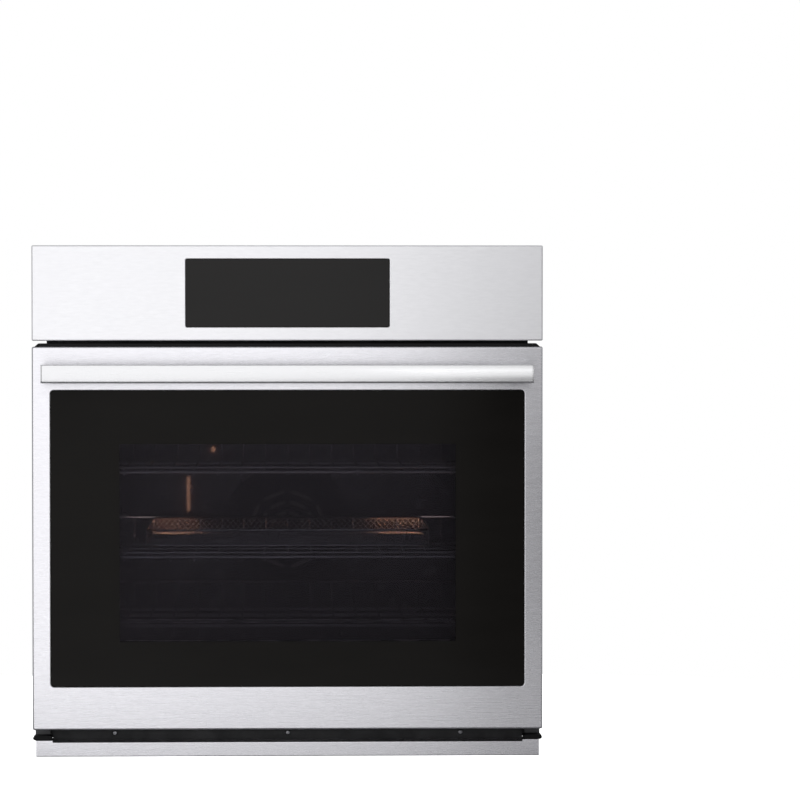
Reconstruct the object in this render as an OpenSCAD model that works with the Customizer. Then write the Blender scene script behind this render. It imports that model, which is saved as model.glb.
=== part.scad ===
// Built-in single wall oven: drop-down door, two wire racks, a gliding rack and a mesh basket.
// Millimetres. X is to the right, the front faces -Y and Z is up. The origin is the centre of
// the body's underside, the face that rests on the shelf of the cabinet's cut-out.

/* [Body] */
// Width of the steel body that goes into the cut-out
body_w = 717; // [712:1:720]
// Height of the steel body
body_h = 712; // [708:1:718]
// Depth behind the cabinet's face, rear cover included
body_d = 580; // [578:1:590]
// Thickness of the body's sheets
sheet = 1.2; // [1:0.1:1.4]

/* [Front] */
// Width of the door and the control panel
face_w = 756; // [754:1:760]
// Distance from the cabinet's face to the front of the door
face_depth = 46; // [46:1:48]
// Height of the control panel
panel_h = 141; // [138:1:145]
// Gap between the control panel and the door
panel_gap = 8.8; // [7:0.1:10]
// Height of the door
door_h = 568; // [566:1:570]
// Height of the bottom trim
trim_h = 24.4; // [22:0.1:26]

/* [Glass] */
// Width of the outer door glass
glass_w = 701; // [690:1:704]
// Height of the outer door glass
glass_h = 439; // [430:1:445]
// Width of the display glass
display_w = 301; // [290:1:304]
// Height of the display glass
display_h = 100.6; // [96:0.1:104]

/* [Handle] */
// Length of the handle bar
bar_w = 724; // [700:1:730]
// Height of the handle bar
bar_h = 27.2; // [25:0.1:30]
// Distance from the door's front to the front of the bar
bar_reach = 52; // [48:1:56]

/* [Cavity] */
// Inner width of the cavity
cav_w = 628; // [626:1:630]
// Inner height of the cavity
cav_h = 445; // [443:1:447]
// Inner depth of the cavity
cav_d = 470; // [468:1:472]
// Vertical distance between rack positions
rack_pitch = 64; // [63:1:65]
// Distance between the long wires of a rack
wire_pitch = 35; // [34:0.5:36]

/* [Hidden] */
$fn = 48;
front = -body_d / 2;
rear = body_d / 2;
skin_y = front - face_depth;
half_w = body_w / 2;
half_face = face_w / 2;

// Heights of the front
trim_z0 = -25;
trim_top = trim_z0 + trim_h;
trim_dip = 2.9;
door_z0 = 15.6;
door_top = door_z0 + door_h;
panel_z0 = door_top + panel_gap;
panel_zc = panel_z0 + panel_h / 2;
glass_zc = 299.2;
window_w = 498;
window_h = 293;
window_zc = 293;

// Screws of the vent sheet under the door
vent_screws = [-258, 0, 258];
vent_screw_z = 6.4;

// Cavity
liner_t = 1.5;
cav_r = 24;
cav_z0 = 70;
cav_zc = cav_z0 + cav_h / 2;
cav_back = front + cav_d;
fan_z = 284;
lamp_x = 215;
lamp_z = 452;
probe_x = -120;
probe_z = 478;
broil_z = 497;
feed_x = 20;
bake_z = 62;
shaft_r = 4;

// Body panels
panel_back = rear - 12.8;
cover_y = rear - 2.2;
shelf_z = 552;
duct_z0 = 569.2;
duct_z1 = 593.2;
blower_y = 100;
gland_x = 250;
gland_z = 645;
gland_r = 11;

// Side flanges and their holes
flange_w = 15.5;
flange_t = 1.5;
flange_z0 = 16;
flange_z1 = 575;
hole_x = 367;
hole_z = 300;
hole_dz = 360;

// Hinge: the pin's axis, and the arm's middle on each side
pin_y = skin_y + 14;
pin_z = door_z0 + 12;
pin_r = 4;
hinge_x = 339;
arm_t = 4;

// Door: depths of its layers
side_return = 20;
frame_half = 374;
frame_y0 = skin_y + 1.4;
frame_y1 = front - 7;
liner_y0 = front - 6;
liner_y1 = front - 4;
liner_z0 = 36;
liner_z1 = 575;

// Handle
bar_d = 13;
bar_zc = 544.2;
bar_yc = skin_y - bar_reach + bar_d / 2;
stud_x = [312, 344];

// Racks
rack_front = front + 28;
rack_rear = cav_back - 43;
rack_half = 306;
rod_r = 3;
wire_r = 1.75;
wire_lift = rod_r + wire_r - 0.9;
fence_foot = wire_lift + 3;
fence_top = wire_lift + 33;
rib_top = 134.9;
rest_gap = 0.3;
basket_w = 430;
basket_d = 330;
basket_h = 25;
basket_foot = 10;
rail_z = rib_top + 5;
rail_x = 288;
glide_z = 163.2;
glide_half = 280;

// Latch: the hook's pin and its angle at rest
latch_y = front + 28;
latch_z = 556;
latch_rest = -15;

// A box from its lowest to its highest corner
module block(lo, hi) {
  translate(lo) cube(hi - lo);
}

// The children and their mirror image on the other side of the middle
module both_sides() {
  children();
  mirror([1, 0, 0]) children();
}

// A flat outline in X and Z, extruded from y0 to y1
module along_y(y0, y1) {
  translate([0, y1, 0]) rotate([90, 0, 0]) linear_extrude(y1 - y0) children();
}

// A flat outline in Y and Z, extruded from x0 to x1
module along_x(x0, x1) {
  translate([x0, 0, 0]) rotate([90, 0, 90]) linear_extrude(x1 - x0) children();
}

// A round bar along Y, along X and along Z
module bar_y(x, z, r, y0, y1) {
  translate([x, y1, z]) rotate([90, 0, 0]) cylinder(r = r, h = y1 - y0);
}

module bar_x(y, z, r, x0, x1) {
  translate([x0, y, z]) rotate([0, 90, 0]) cylinder(r = r, h = x1 - x0);
}

module bar_z(x, y, r, z0, z1) {
  translate([x, y, z0]) cylinder(r = r, h = z1 - z0);
}

// Corners of a rectangle with round corners of radius r, n steps to a corner
function round_rect(w, h, r, n = 6) = [
  for (c = [0:3], i = [0:n])
    let (a = 90 * c + 90 * i / n, sx = c == 0 || c == 3 ? 1 : -1, sz = c < 2 ? 1 : -1)
      [sx * (w / 2 - r) + r * cos(a), sz * (h / 2 - r) + r * sin(a)]
];

module round_plate(w, h, r) {
  polygon(round_rect(w, h, r));
}

module round_rim(w, h, r, t) {
  difference() {
    round_plate(w + 2 * t, h + 2 * t, r + t);
    round_plate(w, h, r);
  }
}

// A row of n upright or lying slots, centred on the origin
module slot_row(n, pitch, w, h) {
  for (i = [0:n - 1]) translate([(i - (n - 1) / 2) * pitch, 0]) square([w, h], center = true);
}

// ---- Cavity ----

module rack_ribs() {
  for (k = [0:5], s = [-1, 1]) {
    z = rib_top + k * rack_pitch;
    along_y(front + 20, cav_back - 30)
      polygon([[s * (cav_w / 2 + 0.7), z], [s * (cav_w / 2 - 14), z],
               [s * (cav_w / 2 - 14), z - 3], [s * (cav_w / 2 + 0.7), z - 12]]);
  }
}

module cavity_liner() {
  color("#30323b") difference() {
    union() {
      translate([0, 0, cav_zc]) {
        along_y(front + sheet, cav_back + liner_t) round_rim(cav_w, cav_h, cav_r, liner_t);
        along_y(cav_back, cav_back + liner_t) round_plate(cav_w + 1, cav_h + 1, cav_r);
      }
      rack_ribs();
    }
    bar_y(0, fan_z, 10, cav_back - 2, cav_back + 5);
    both_sides() {
      bar_y(lamp_x, lamp_z, 24, cav_back - 2, cav_back + 5);
      bar_y(feed_x, broil_z, 6, cav_back - 2, cav_back + 5);
      bar_y(12, fan_z + 90, 5, cav_back - 2, cav_back + 5);
    }
    bar_y(probe_x, probe_z, 4, cav_back - 2, cav_back + 5);
  }
}

module front_frame() {
  color("#101113") along_y(front, front + sheet) difference() {
    translate([-half_w, 0]) square([body_w, body_h]);
    translate([0, cav_zc]) round_plate(cav_w, cav_h, cav_r);
    translate([0, (duct_z1 + body_h) / 2]) square([620, body_h - duct_z1 - 34], center = true);
    translate([0, (door_top + panel_z0) / 2 - 4]) slot_row(12, 44, 36, 7);
    translate([-10, latch_z - 5]) square([58, 14]);
    for (s = [-1, 1]) translate([s * hinge_x, 25]) square([8, 26], center = true);
    for (x = vent_screws) translate([x, vent_screw_z]) circle(r = 2.6);
  }
}

module door_gasket() {
  color("#3a3a3c") translate([0, 0, cav_zc])
    along_y(front - 3.7, front) round_rim(cav_w + 12, cav_h + 12, cav_r + 6, 8);
}

// A blanket round the cavity and another behind it
module insulation() {
  zc = (28 + 545) / 2;
  color("#d8c98a") {
    along_y(front + 10, cav_back) difference() {
      translate([0, zc]) round_plate(688, 517, 50);
      translate([0, (56 + 517.5) / 2]) round_plate(cav_w + 5, 461.5, cav_r + 3);
    }
    along_y(cav_back + 3, cav_back + 33) difference() {
      translate([0, zc]) round_plate(688, 517, 50);
      translate([0, fan_z]) circle(r = 16);
      for (s = [-1, 1]) {
        translate([s * lamp_x, lamp_z]) circle(r = 33);
        translate([s * feed_x, broil_z]) circle(r = 7);
        translate([s * 12, fan_z + 90]) circle(r = 6);
      }
      translate([probe_x, probe_z]) circle(r = 6);
    }
  }
}

// One heating loop in the plane z: it zigzags forward and back, with both ends at the rear
module heater_loop(z, r, y_near, y_mid, y_far, y_end) {
  step = 70;
  turn_r = step / 2;
  half_turn = feed_x + 5;
  both_sides() {
    bar_y(feed_x, z, r, y_far + 15, y_end);
    bar_x(y_far, z, r, feed_x + 15, half_turn + 3 * step - 15);
    translate([feed_x + 15, y_far + 15, z]) rotate([0, 0, 180])
      rotate_extrude(angle = 90) translate([15, 0]) circle(r = r);
    translate([half_turn + 3 * step - 15, y_far - 15, z])
      rotate_extrude(angle = 90) translate([15, 0]) circle(r = r);
    bar_y(half_turn + 3 * step, z, r, y_near, y_far - 15);
    for (k = [0:2]) bar_y(half_turn + k * step, z, r, y_near, y_mid);
    for (k = [0, 2]) translate([half_turn + k * step + turn_r, y_near, z]) rotate([0, 0, 180])
      rotate_extrude(angle = 180) translate([turn_r, 0]) circle(r = r);
    translate([half_turn + step + turn_r, y_mid, z])
      rotate_extrude(angle = 180) translate([turn_r, 0]) circle(r = r);
  }
  translate([0, y_mid, z]) rotate_extrude(angle = 180) translate([half_turn, 0]) circle(r = r);
}

module broil_element() {
  color("#5a5856") heater_loop(broil_z, 4, front + 100, 60, 110, cav_back + 22);
}

module bake_element() {
  color("#5a5856") heater_loop(bake_z, 3.5, front + 100, 60, 110, cav_back - 10);
}

module convection_element() {
  color("#5a5856") {
    translate([0, cav_back - 14, fan_z]) rotate([90, 0, 0])
      rotate_extrude() translate([90, 0]) circle(r = 3.5);
    both_sides() bar_y(12, fan_z + 89.2, 3.1, cav_back - 14, cav_back + 22);
  }
}

module fan_cover() {
  depth = 34;
  y0 = cav_back - depth;
  color("#30323b") difference() {
    bar_y(0, fan_z, 104, y0, cav_back);
    bar_y(0, fan_z, 102.8, y0 + 1.2, cav_back + 1);
    for (a = [22.5:45:359], r = [26, 42, 58]) translate([0, 0, fan_z]) rotate([0, a, 0])
      block([-r * 0.3, y0 - 1, r - 3], [r * 0.3, y0 + 2, r + 3]);
    for (a = [15:30:359]) translate([0, 0, fan_z]) rotate([0, a, 0])
      block([-18, y0 + 12, 100], [18, cav_back - 9, 106]);
  }
}

module convection_motor() {
  color("#8d9094") difference() {
    union() {
      block([-55, cav_back + 34.5, fan_z - 55], [55, cav_back + 36, fan_z + 55]);
      bar_y(0, fan_z, 36, cav_back + 35, cav_back + 80);
    }
    bar_y(0, fan_z, shaft_r + 0.05, cav_back + 30, cav_back + 76);
  }
}

// The fan with the shaft that is pressed into its hub
module convection_fan() {
  color("#9a9ca0") {
    bar_y(0, fan_z, 13, cav_back - 26, cav_back - 5);
    bar_y(0, fan_z, 78, cav_back - 7, cav_back - 5.5);
    for (a = [0:45:359]) translate([0, 0, fan_z]) rotate([0, a, 0])
      block([-0.8, cav_back - 25, 11], [0.8, cav_back - 6.2, 77]);
    bar_y(0, fan_z, shaft_r, cav_back - 27, cav_back + 75);
  }
}

module lamp_housings() {
  color("#b9bcc0") both_sides() difference() {
    bar_y(lamp_x, lamp_z, 30, cav_back + liner_t, cav_back + 46);
    bar_y(lamp_x, lamp_z, 28.5, cav_back + liner_t - 1, cav_back + 44.5);
    bar_y(lamp_x, lamp_z, 5, cav_back + 40, cav_back + 50);
  }
}

module lamp_bulbs() {
  color("#f3ecd8") both_sides() {
    bar_y(lamp_x, lamp_z, 6.5, cav_back - 2, cav_back + 22);
    bar_y(lamp_x, lamp_z, 4.5, cav_back + 22, cav_back + 52);
  }
}

module lamp_lenses() {
  color("#dfe6ea") both_sides() translate([lamp_x, cav_back, lamp_z]) rotate([90, 0, 0])
    difference() {
      union() {
        cylinder(r = 29, h = 4);
        cylinder(r1 = 26, r2 = 21, h = 18);
      }
      translate([0, 0, -1]) cylinder(r1 = 23.8, r2 = 19, h = 16.5);
    }
}

module temperature_probe() {
  color("#c9ccd0") {
    bar_y(probe_x, probe_z, 2.4, cav_back - 85, cav_back + 20);
    block([probe_x - 18, cav_back - 1.2, probe_z - 7], [probe_x + 18, cav_back, probe_z + 7]);
  }
}

// ---- Body panels ----

module side_panels() {
  color("#b4b8bb") both_sides()
    block([half_w - sheet, front + sheet, sheet], [half_w, panel_back, body_h - sheet]);
}

module top_panel() {
  color("#b4b8bb") difference() {
    block([-half_w, front + sheet, body_h - sheet], [half_w, panel_back, body_h]);
    for (i = [-5:5]) block([i * 30 - 4, 150, body_h - 5], [i * 30 + 4, 230, body_h + 1]);
  }
}

module rear_panel() {
  color("#b4b8bb") along_y(panel_back - sheet, panel_back) difference() {
    translate([-half_w + sheet, sheet]) square([body_w - 2 * sheet, body_h - 2 * sheet]);
    translate([0, 300]) square([340, 320], center = true);
    translate([gland_x, gland_z]) circle(r = 14.2);
    for (z = [560:16:670]) translate([-180, z]) square([220, 6], center = true);
  }
}

module rear_cover() {
  color("#a4a8ab") difference() {
    block([-200, panel_back, 110], [200, cover_y, 490]);
    block([-198.8, panel_back - 1, 111.2], [198.8, cover_y - sheet, 488.8]);
    for (z = [160:22:440], x = [-95, 95]) block([x - 70, cover_y - 3, z - 3.5], [x + 70, rear, z + 3.5]);
  }
}

module base_panel() {
  color("#b4b8bb") block([-half_w, front + sheet, 0], [half_w, panel_back, sheet]);
}

module side_flanges() {
  color("#1b1c1e") both_sides() difference() {
    block([half_w, front - flange_t, flange_z0], [half_w + flange_w, front, flange_z1]);
    for (s = [-1, 1]) bar_y(hole_x, hole_z + s * hole_dz / 2, 2.5, front - 5, front + 5);
  }
}

module component_shelf() {
  color("#b4b8bb") difference() {
    block([-half_w + sheet, front + sheet, shelf_z], [half_w - sheet, panel_back - sheet, shelf_z + sheet]);
    for (x = [-280, 280], y = [-150:60:30])
      block([x - 25, y - 4, shelf_z - 2], [x + 25, y + 4, shelf_z + 3]);
  }
}

// The blower's round housing stands on the duct and blows down into it
module air_duct() {
  color("#9ea2a5") {
    difference() {
      union() {
        translate([0, 0, duct_z0]) linear_extrude(duct_z1 - duct_z0)
          polygon([[-290, front + sheet], [290, front + sheet], [95, 20], [95, 190],
            [-95, 190], [-95, 20]]);
        for (x = [-80, 80], y = [-40, 170])
          block([x - 6, y - 6, shelf_z + sheet], [x + 6, y + 6, duct_z0 + 0.5]);
      }
      translate([0, 0, duct_z0 + 1.2]) linear_extrude(duct_z1 - duct_z0 - 2.4)
        polygon([[-288, front - 1], [288, front - 1], [93.8, 21], [93.8, 188.8],
          [-93.8, 188.8], [-93.8, 21]]);
      bar_z(0, blower_y, 78, duct_z1 - 4, duct_z1 + 2);
    }
    translate([0, blower_y, duct_z1 - 0.6]) difference() {
      cylinder(r = 84, h = 48.6);
      translate([0, 0, -1]) cylinder(r = 82.8, h = 48.4);
      difference() {
        translate([0, 0, 40]) cylinder(r = 58, h = 20);
        translate([0, 0, 39]) cylinder(r = 34, h = 22);
        for (a = [0, 120, 240]) rotate([0, 0, a]) translate([0, -5, 39]) cube([90, 10, 22]);
      }
      translate([0, 0, 40]) cylinder(r = 6, h = 20);
    }
  }
}

module blower_motor() {
  color("#6f7377") translate([0, blower_y, duct_z1 + 48]) difference() {
    union() {
      cylinder(r = 31, h = 40);
      for (a = [60, 180, 300]) rotate([0, 0, a]) translate([28, -5, 0]) cube([5, 10, 3]);
    }
    translate([0, 0, -1]) cylinder(r = shaft_r + 0.05, h = 31);
  }
}

module blower_wheel() {
  color("#45484b") translate([0, blower_y, duct_z1 + 3]) {
    difference() {
      union() {
        cylinder(r = 70, h = 1.5);
        cylinder(r = 12, h = 20);
        cylinder(r = shaft_r, h = 73);
      }
      for (a = [0:60:359]) rotate([0, 0, a]) translate([36, 0, -1]) cylinder(r = 9, h = 4);
    }
    for (a = [0:12:359]) rotate([0, 0, a]) translate([60, -0.6, 1]) rotate([0, 0, 20]) cube([10, 1.2, 35]);
    translate([0, 0, 35]) difference() {
      cylinder(r = 72, h = 2);
      translate([0, 0, -1]) cylinder(r = 58.5, h = 4);
    }
  }
}

module relay_board() {
  z = shelf_z + sheet;
  color("#2f6b4a") {
    for (x = [-330, -140], y = [20, 200]) bar_z(x, y, 3.5, z, z + 9);
    block([-338, 10, z + 8], [-130, 210, z + 9.6]);
    for (i = [0:4]) block([-325 + i * 34, 30, z + 9], [-299 + i * 34, 46, z + 28]);
    block([-322, 130, z + 9], [-262, 190, z + 52]);
    for (i = [0:2]) bar_z(-230 + i * 26, 160, 9, z + 9, z + 34);
    block([-250, 80, z + 9], [-200, 104, z + 20]);
    block([-180, 70, z + 9], [-150, 120, z + 40]);
  }
}

module conduit_gland() {
  color("#c9ccd0") difference() {
    union() {
      bar_y(gland_x, gland_z, 13.8, panel_back - 8, rear - 1);
      along_y(panel_back, panel_back + 5) translate([gland_x, gland_z]) circle(r = 20, $fn = 6);
      along_y(panel_back - 6, panel_back - sheet) translate([gland_x, gland_z]) circle(r = 20, $fn = 6);
    }
    bar_y(gland_x, gland_z, gland_r, panel_back - 10, rear + 1);
  }
}

// Pan head screws, with the head's underside on the panel
module panel_screws() {
  color("#d5d7d9") {
    both_sides() for (y = [front + 30, 0, panel_back - 25], z = [30, body_h / 2, body_h - 25])
      bar_x(y, z, 4, half_w, half_w + 2);
    for (x = [-330, 0, 330], z = [25, body_h - 25]) bar_y(x, z, 4, panel_back, panel_back + 2.2);
    for (x = [-330, 330], z = [230, 500]) bar_y(x, z, 4, panel_back, panel_back + 2.2);
    for (x = [-186, 186], z = [125, 475]) bar_y(x, z, 4, cover_y, rear);
    for (x = vent_screws) {
      bar_y(x, vent_screw_z, 3.6, front - sheet - 2.4, front - sheet);
      bar_y(x, vent_screw_z, 2, front - sheet - 0.5, front + 8);
    }
  }
}

// ---- Control panel ----

module control_panel() {
  color("#d4d5d7") translate([0, 0, panel_zc]) along_y(skin_y, skin_y + sheet) difference() {
    square([face_w, panel_h], center = true);
    round_plate(display_w + 0.6, display_h + 0.6, 2.3);
  }
}

// The returns behind the panel's face, with a flange that closes the part above the body
module panel_returns() {
  color("#d4d5d7") translate([0, 0, panel_zc]) {
    along_y(skin_y + sheet, front) difference() {
      square([face_w, panel_h], center = true);
      square([face_w - 2 * sheet, panel_h - 2 * sheet], center = true);
    }
    along_y(front - sheet, front) difference() {
      square([face_w - sheet, panel_h - sheet], center = true);
      translate([0, -20]) square([face_w - 44, panel_h], center = true);
    }
  }
}

module display_glass() {
  color("#17171a") translate([0, 0, panel_zc])
    along_y(skin_y + 0.3, skin_y + 3.3) round_plate(display_w, display_h, 2);
}

module touch_board() {
  color("#1f5a3c") translate([0, 0, panel_zc]) {
    along_y(skin_y + 5, skin_y + 6.6) square([280, 84], center = true);
    for (x = [-100, -60, 90]) block([x - 12, skin_y + 6, -30], [x + 12, skin_y + 14, -18]);
    block([-40, skin_y + 6, -5], [40, skin_y + 12, 25]);
  }
}

module board_housing() {
  color("#e8e6e0") translate([0, 0, panel_zc]) difference() {
    along_y(skin_y + sheet, skin_y + 30) square([312, 112], center = true);
    along_y(skin_y, skin_y + 28) square([306, 106], center = true);
    for (x = [-90:30:90]) block([x - 8, skin_y + 25, -40], [x + 8, skin_y + 35, -36]);
  }
}

// ---- Latch ----

module latch_unit() {
  z = shelf_z + sheet;
  color("#c9ccd0") {
    block([-34, front + 6, z], [76, front + 66, z + 1.4]);
    bar_z(54, front + 44, 15, z + 1, z + 13);
    bar_z(0, latch_y, 3, z + 1, latch_z + 8);
    bar_z(0, latch_y, 6, z + 1, latch_z - 0.4);
  }
}

module latch_hook() {
  color("#9a9ca0") translate([0, latch_y, latch_z]) rotate([0, 0, latch_rest]) difference() {
    union() {
      cylinder(r = 8, h = 3);
      translate([0, -4, 0]) cube([46, 8, 3]);
      translate([38, -12, 0]) cube([8, 12, 3]);
    }
    translate([0, 0, -1]) cylinder(r = 3.06, h = 5);
  }
}

// ---- Bottom trim ----

module bottom_trim() {
  half = 373.5;
  dip_x = 349;
  y0 = skin_y + 8;
  y1 = front - 1.3;
  dip_z = trim_top - trim_dip;
  color("#d4d5d7") {
    along_y(y0, y0 + sheet) polygon([[-half, trim_z0], [half, trim_z0], [half, trim_top],
      [dip_x, trim_top], [dip_x, dip_z], [-dip_x, dip_z], [-dip_x, trim_top], [-half, trim_top]]);
    block([-half, y0, trim_z0], [half, y1, trim_z0 + sheet]);
    block([-dip_x, y0, dip_z - sheet], [dip_x, y1, dip_z]);
    both_sides() {
      block([dip_x - sheet, y0, trim_top - sheet], [half, y1, trim_top]);
      block([dip_x - sheet, y0, dip_z - sheet], [dip_x, y1, trim_top]);
      block([half - sheet, y0, trim_z0], [half, y1, trim_top]);
    }
  }
}

module base_front() {
  color("#0e0f10") along_y(front - sheet, front) difference() {
    translate([-half_w + 8, trim_z0 + 1.2]) square([body_w - 16, 35]);
    for (x = vent_screws) translate([x, vent_screw_z]) circle(r = 2.6);
  }
}

module corner_bumpers() {
  color("#141415") both_sides() along_y(skin_y + 9, skin_y + 33)
    translate([364, trim_top + 3.3]) round_plate(28, 6.6, 3.2);
}

module corner_brackets() {
  color("#3b3c3e") both_sides() difference() {
    block([354, front - 10, trim_top], [376, front - flange_t, 15.2]);
    block([356, front - 8, trim_top + 2], [374, front, 13]);
  }
}

// ---- Door hinges ----

module hinge_receivers() {
  color("#8d9094") both_sides() difference() {
    block([hinge_x - 6, front + sheet, 6], [hinge_x + 6, front + 52, 44]);
    block([hinge_x - 4, front - 1, 8], [hinge_x + 4, front + 50, 42]);
  }
}

module hinge_arms() {
  color("#a7aaad") both_sides() difference() {
    union() {
      bar_x(pin_y, pin_z, 9.5, hinge_x - arm_t / 2, hinge_x + arm_t / 2);
      along_x(hinge_x - arm_t / 2, hinge_x + arm_t / 2) polygon([
        [pin_y, pin_z - 7], [front + 34, pin_z - 7], [front + 34, 13.5], [front + 42, 13.5],
        [front + 46, pin_z + 4], [pin_y, pin_z + 4]
      ]);
    }
    bar_x(pin_y, pin_z, pin_r + 0.06, hinge_x - 5, hinge_x + 5);
  }
}

// A channel in the door's edge, with the hinge pin riveted through its cheeks
module hinge_channels() {
  y0 = skin_y + 6;
  y1 = skin_y + 36;
  color("#8d9094") both_sides() {
    for (x = [hinge_x - 8, hinge_x + 6]) block([x, y0, door_z0 + 2], [x + 2, y1, 260]);
    block([hinge_x - 8, y0, 44], [hinge_x + 8, y0 + 1.5, 260]);
    block([hinge_x - 8, y0, 258.5], [hinge_x + 8, y1, 260]);
    bar_x(pin_y, pin_z, pin_r, hinge_x - 8.6, hinge_x + 8.6);
  }
}

module hinge_springs() {
  color("#6f7377") both_sides() translate([hinge_x, skin_y + 22, 70]) rotate_extrude() {
    square([3.6, 140]);
    for (i = [0:27]) translate([3.6, 4.6 + i * 4.8]) circle(r = 1.3);
  }
}

// ---- Door ----

module arm_gaps() {
  both_sides() block([hinge_x - 11, skin_y + 3, door_z0 - 1], [hinge_x + 10.5, front, door_z0 + 40]);
}

module door_skin() {
  hem = 32;
  color("#d4d5d7") difference() {
    union() {
      along_y(skin_y, skin_y + sheet) translate([-half_face, door_z0]) square([face_w, door_h]);
      for (s = [-1, 1]) block([s > 0 ? half_face - sheet : -half_face, skin_y, door_z0],
        [s > 0 ? half_face : -half_face + sheet, skin_y + side_return, door_top]);
      block([-half_face, skin_y, door_z0], [half_face, skin_y + hem, door_z0 + sheet]);
      block([-half_face, skin_y, door_top - sheet], [half_face, skin_y + 4, door_top]);
    }
    translate([0, 0, glass_zc]) along_y(skin_y - 1, skin_y + 3) round_plate(glass_w + 1, glass_h + 1, 5.5);
    both_sides() for (x = stud_x) bar_y(x, bar_zc, 3.3, skin_y - 1, skin_y + 3);
    arm_gaps();
  }
}

module outer_glass() {
  color("#131211") translate([0, 0, glass_zc])
    along_y(skin_y + 0.2, skin_y + 4.2) round_plate(glass_w, glass_h, 5);
}

module middle_glasses() {
  color("#40454a") translate([0, 0, window_zc]) for (y = [skin_y + 13, skin_y + 24])
    along_y(y, y + 3) square([590, 340], center = true);
}

module pane_carrier() {
  color("#9ea2a5") translate([0, 0, window_zc]) {
    along_y(skin_y + 4.4, skin_y + 36) difference() {
      square([596, 346], center = true);
      square([593, 343], center = true);
    }
    for (y = [skin_y + 11.6, skin_y + 16, skin_y + 22.6, skin_y + 27])
      along_y(y, y + 1.3) difference() {
        square([595, 345], center = true);
        square([560, 310], center = true);
      }
  }
}

module inner_glass() {
  color("#40454a") translate([0, 0, window_zc])
    along_y(liner_y0 - 4, liner_y0) round_plate(540, 330, 8);
}

module door_liner() {
  w = 2 * 366;
  color("#1b1c1f") difference() {
    union() {
      along_y(liner_y0, liner_y1) translate([0, (liner_z0 + liner_z1) / 2])
        round_plate(w, liner_z1 - liner_z0, 12);
      along_y(liner_y1 - 1, liner_y1 + 1.4) translate([0, (liner_z0 + liner_z1) / 2])
        round_rim(w - 16, liner_z1 - liner_z0 - 16, 6, 1.6);
    }
    translate([0, 0, window_zc]) along_y(liner_y0 - 1, liner_y1 + 2)
      round_plate(window_w + 6, window_h + 6, 14);
    block([-7, liner_y0 - 1, latch_z - 5], [42, liner_y1 + 2, latch_z + 8]);
    arm_gaps();
  }
}

module door_frame() {
  zb = door_z0 + 2.4;
  color("#232426") difference() {
    union() {
      both_sides() difference() {
        block([352, frame_y0, zb], [frame_half, frame_y1, liner_z1]);
        block([350, frame_y0 + 1.4, zb + 8], [frame_half - 1.4, frame_y1 - 1.4, liner_z1 - 10]);
      }
      block([-352.5, frame_y0, zb], [352.5, skin_y + 30, zb + 1.4]);
      block([-352.5, frame_y0, zb], [352.5, frame_y0 + 1.4, zb + 14]);
      block([-352.5, frame_y0 + 3, liner_z1 - 9], [352.5, frame_y1 - 3.4, liner_z1 - 7.6]);
      block([-352.5, frame_y0 + 3, liner_z1 - 9], [352.5, frame_y0 + 4.4, liner_z1]);
    }
    arm_gaps();
  }
}

module door_top_trim() {
  color("#121213") difference() {
    translate([0, 0, liner_z1]) along_y(skin_y + 4.5, front - 8) polygon([
      [-frame_half, 0], [frame_half, 0], [frame_half, door_top - liner_z1],
      [frame_half - 5, door_top - liner_z1 + 4.5], [-frame_half + 5, door_top - liner_z1 + 4.5],
      [-frame_half, door_top - liner_z1]
    ]);
    block([-frame_half + 2, skin_y + 6.5, liner_z1 - 1], [frame_half - 2, front - 10, door_top + 2.4]);
    for (i = [-9:9]) block([i * 34 - 12, skin_y + 16, door_top], [i * 34 + 12, skin_y + 22, door_top + 6]);
  }
}

// ---- Handle ----

// Half the outline of the bar's crowned front, in Y and Z about its middle
function bar_outline(d, h) = concat(
  [for (i = [0:16]) let (t = -1 + i / 8) [-d / 2 + 2.2 * pow(abs(t), 2.4), t * (h / 2 - 1.2)]],
  [[-d / 2 + 4, h / 2], [d / 2 - 1.5, h / 2], [d / 2, h / 2 - 1.5],
   [d / 2, -h / 2 + 1.5], [d / 2 - 1.5, -h / 2], [-d / 2 + 4, -h / 2]]
);

module handle_bar() {
  color("#dcdddf") along_x(-bar_w / 2, bar_w / 2) translate([bar_yc, bar_zc])
    polygon(bar_outline(bar_d, bar_h));
}

module handle_posts() {
  y1 = bar_yc + bar_d / 2;
  color("#c2c4c7") both_sides() {
    translate([0, 0, bar_zc]) along_y(y1, skin_y) translate([328, 0]) round_plate(62, 17, 4);
    for (x = stud_x) bar_y(x, bar_zc, 3, skin_y - 0.5, skin_y + 11);
  }
}

// ---- Racks and basket ----

// Long wires that lie on the cross rods and turn up at the rear, to where the fence begins
module wire_deck(z, half) {
  n = floor((half - 8) / wire_pitch);
  for (i = [-n:n]) {
    bar_y(i * wire_pitch, z + wire_lift, wire_r, rack_front + 1, rack_rear + 1);
    bar_z(i * wire_pitch, rack_rear, wire_r - 0.1, z + wire_lift - 1, z + fence_foot);
  }
  for (y = [rack_front + rod_r, rack_front + 16, -60, 50]) bar_x(y, z, rod_r - 0.1, -half, half);
  for (s = [-1, 1]) {
    bar_y(s * half, z, rod_r, rack_front, rack_rear + 2);
    bar_z(s * half, rack_rear, rod_r - 0.3, z, z + fence_foot);
  }
}

// The fence at a rack's rear, butt-welded to the ends of its wires
module wire_fence(z, half) {
  n = floor((half - 8) / wire_pitch);
  color("#d5d7d9") {
    for (i = [-n:n]) bar_z(i * wire_pitch, rack_rear, wire_r - 0.1, z + fence_foot, z + fence_top);
    bar_x(rack_rear, z + fence_top, 2.5, -half, half);
    both_sides() bar_z(half, rack_rear, rod_r - 0.3, z + fence_foot, z + fence_top + 2);
  }
}

function rack_z(k) = rib_top + k * rack_pitch + rod_r + rest_gap;

module rack_top() {
  color("#d5d7d9") wire_deck(rack_z(4), rack_half);
}

module top_fence() {
  wire_fence(rack_z(4), rack_half);
}

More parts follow.
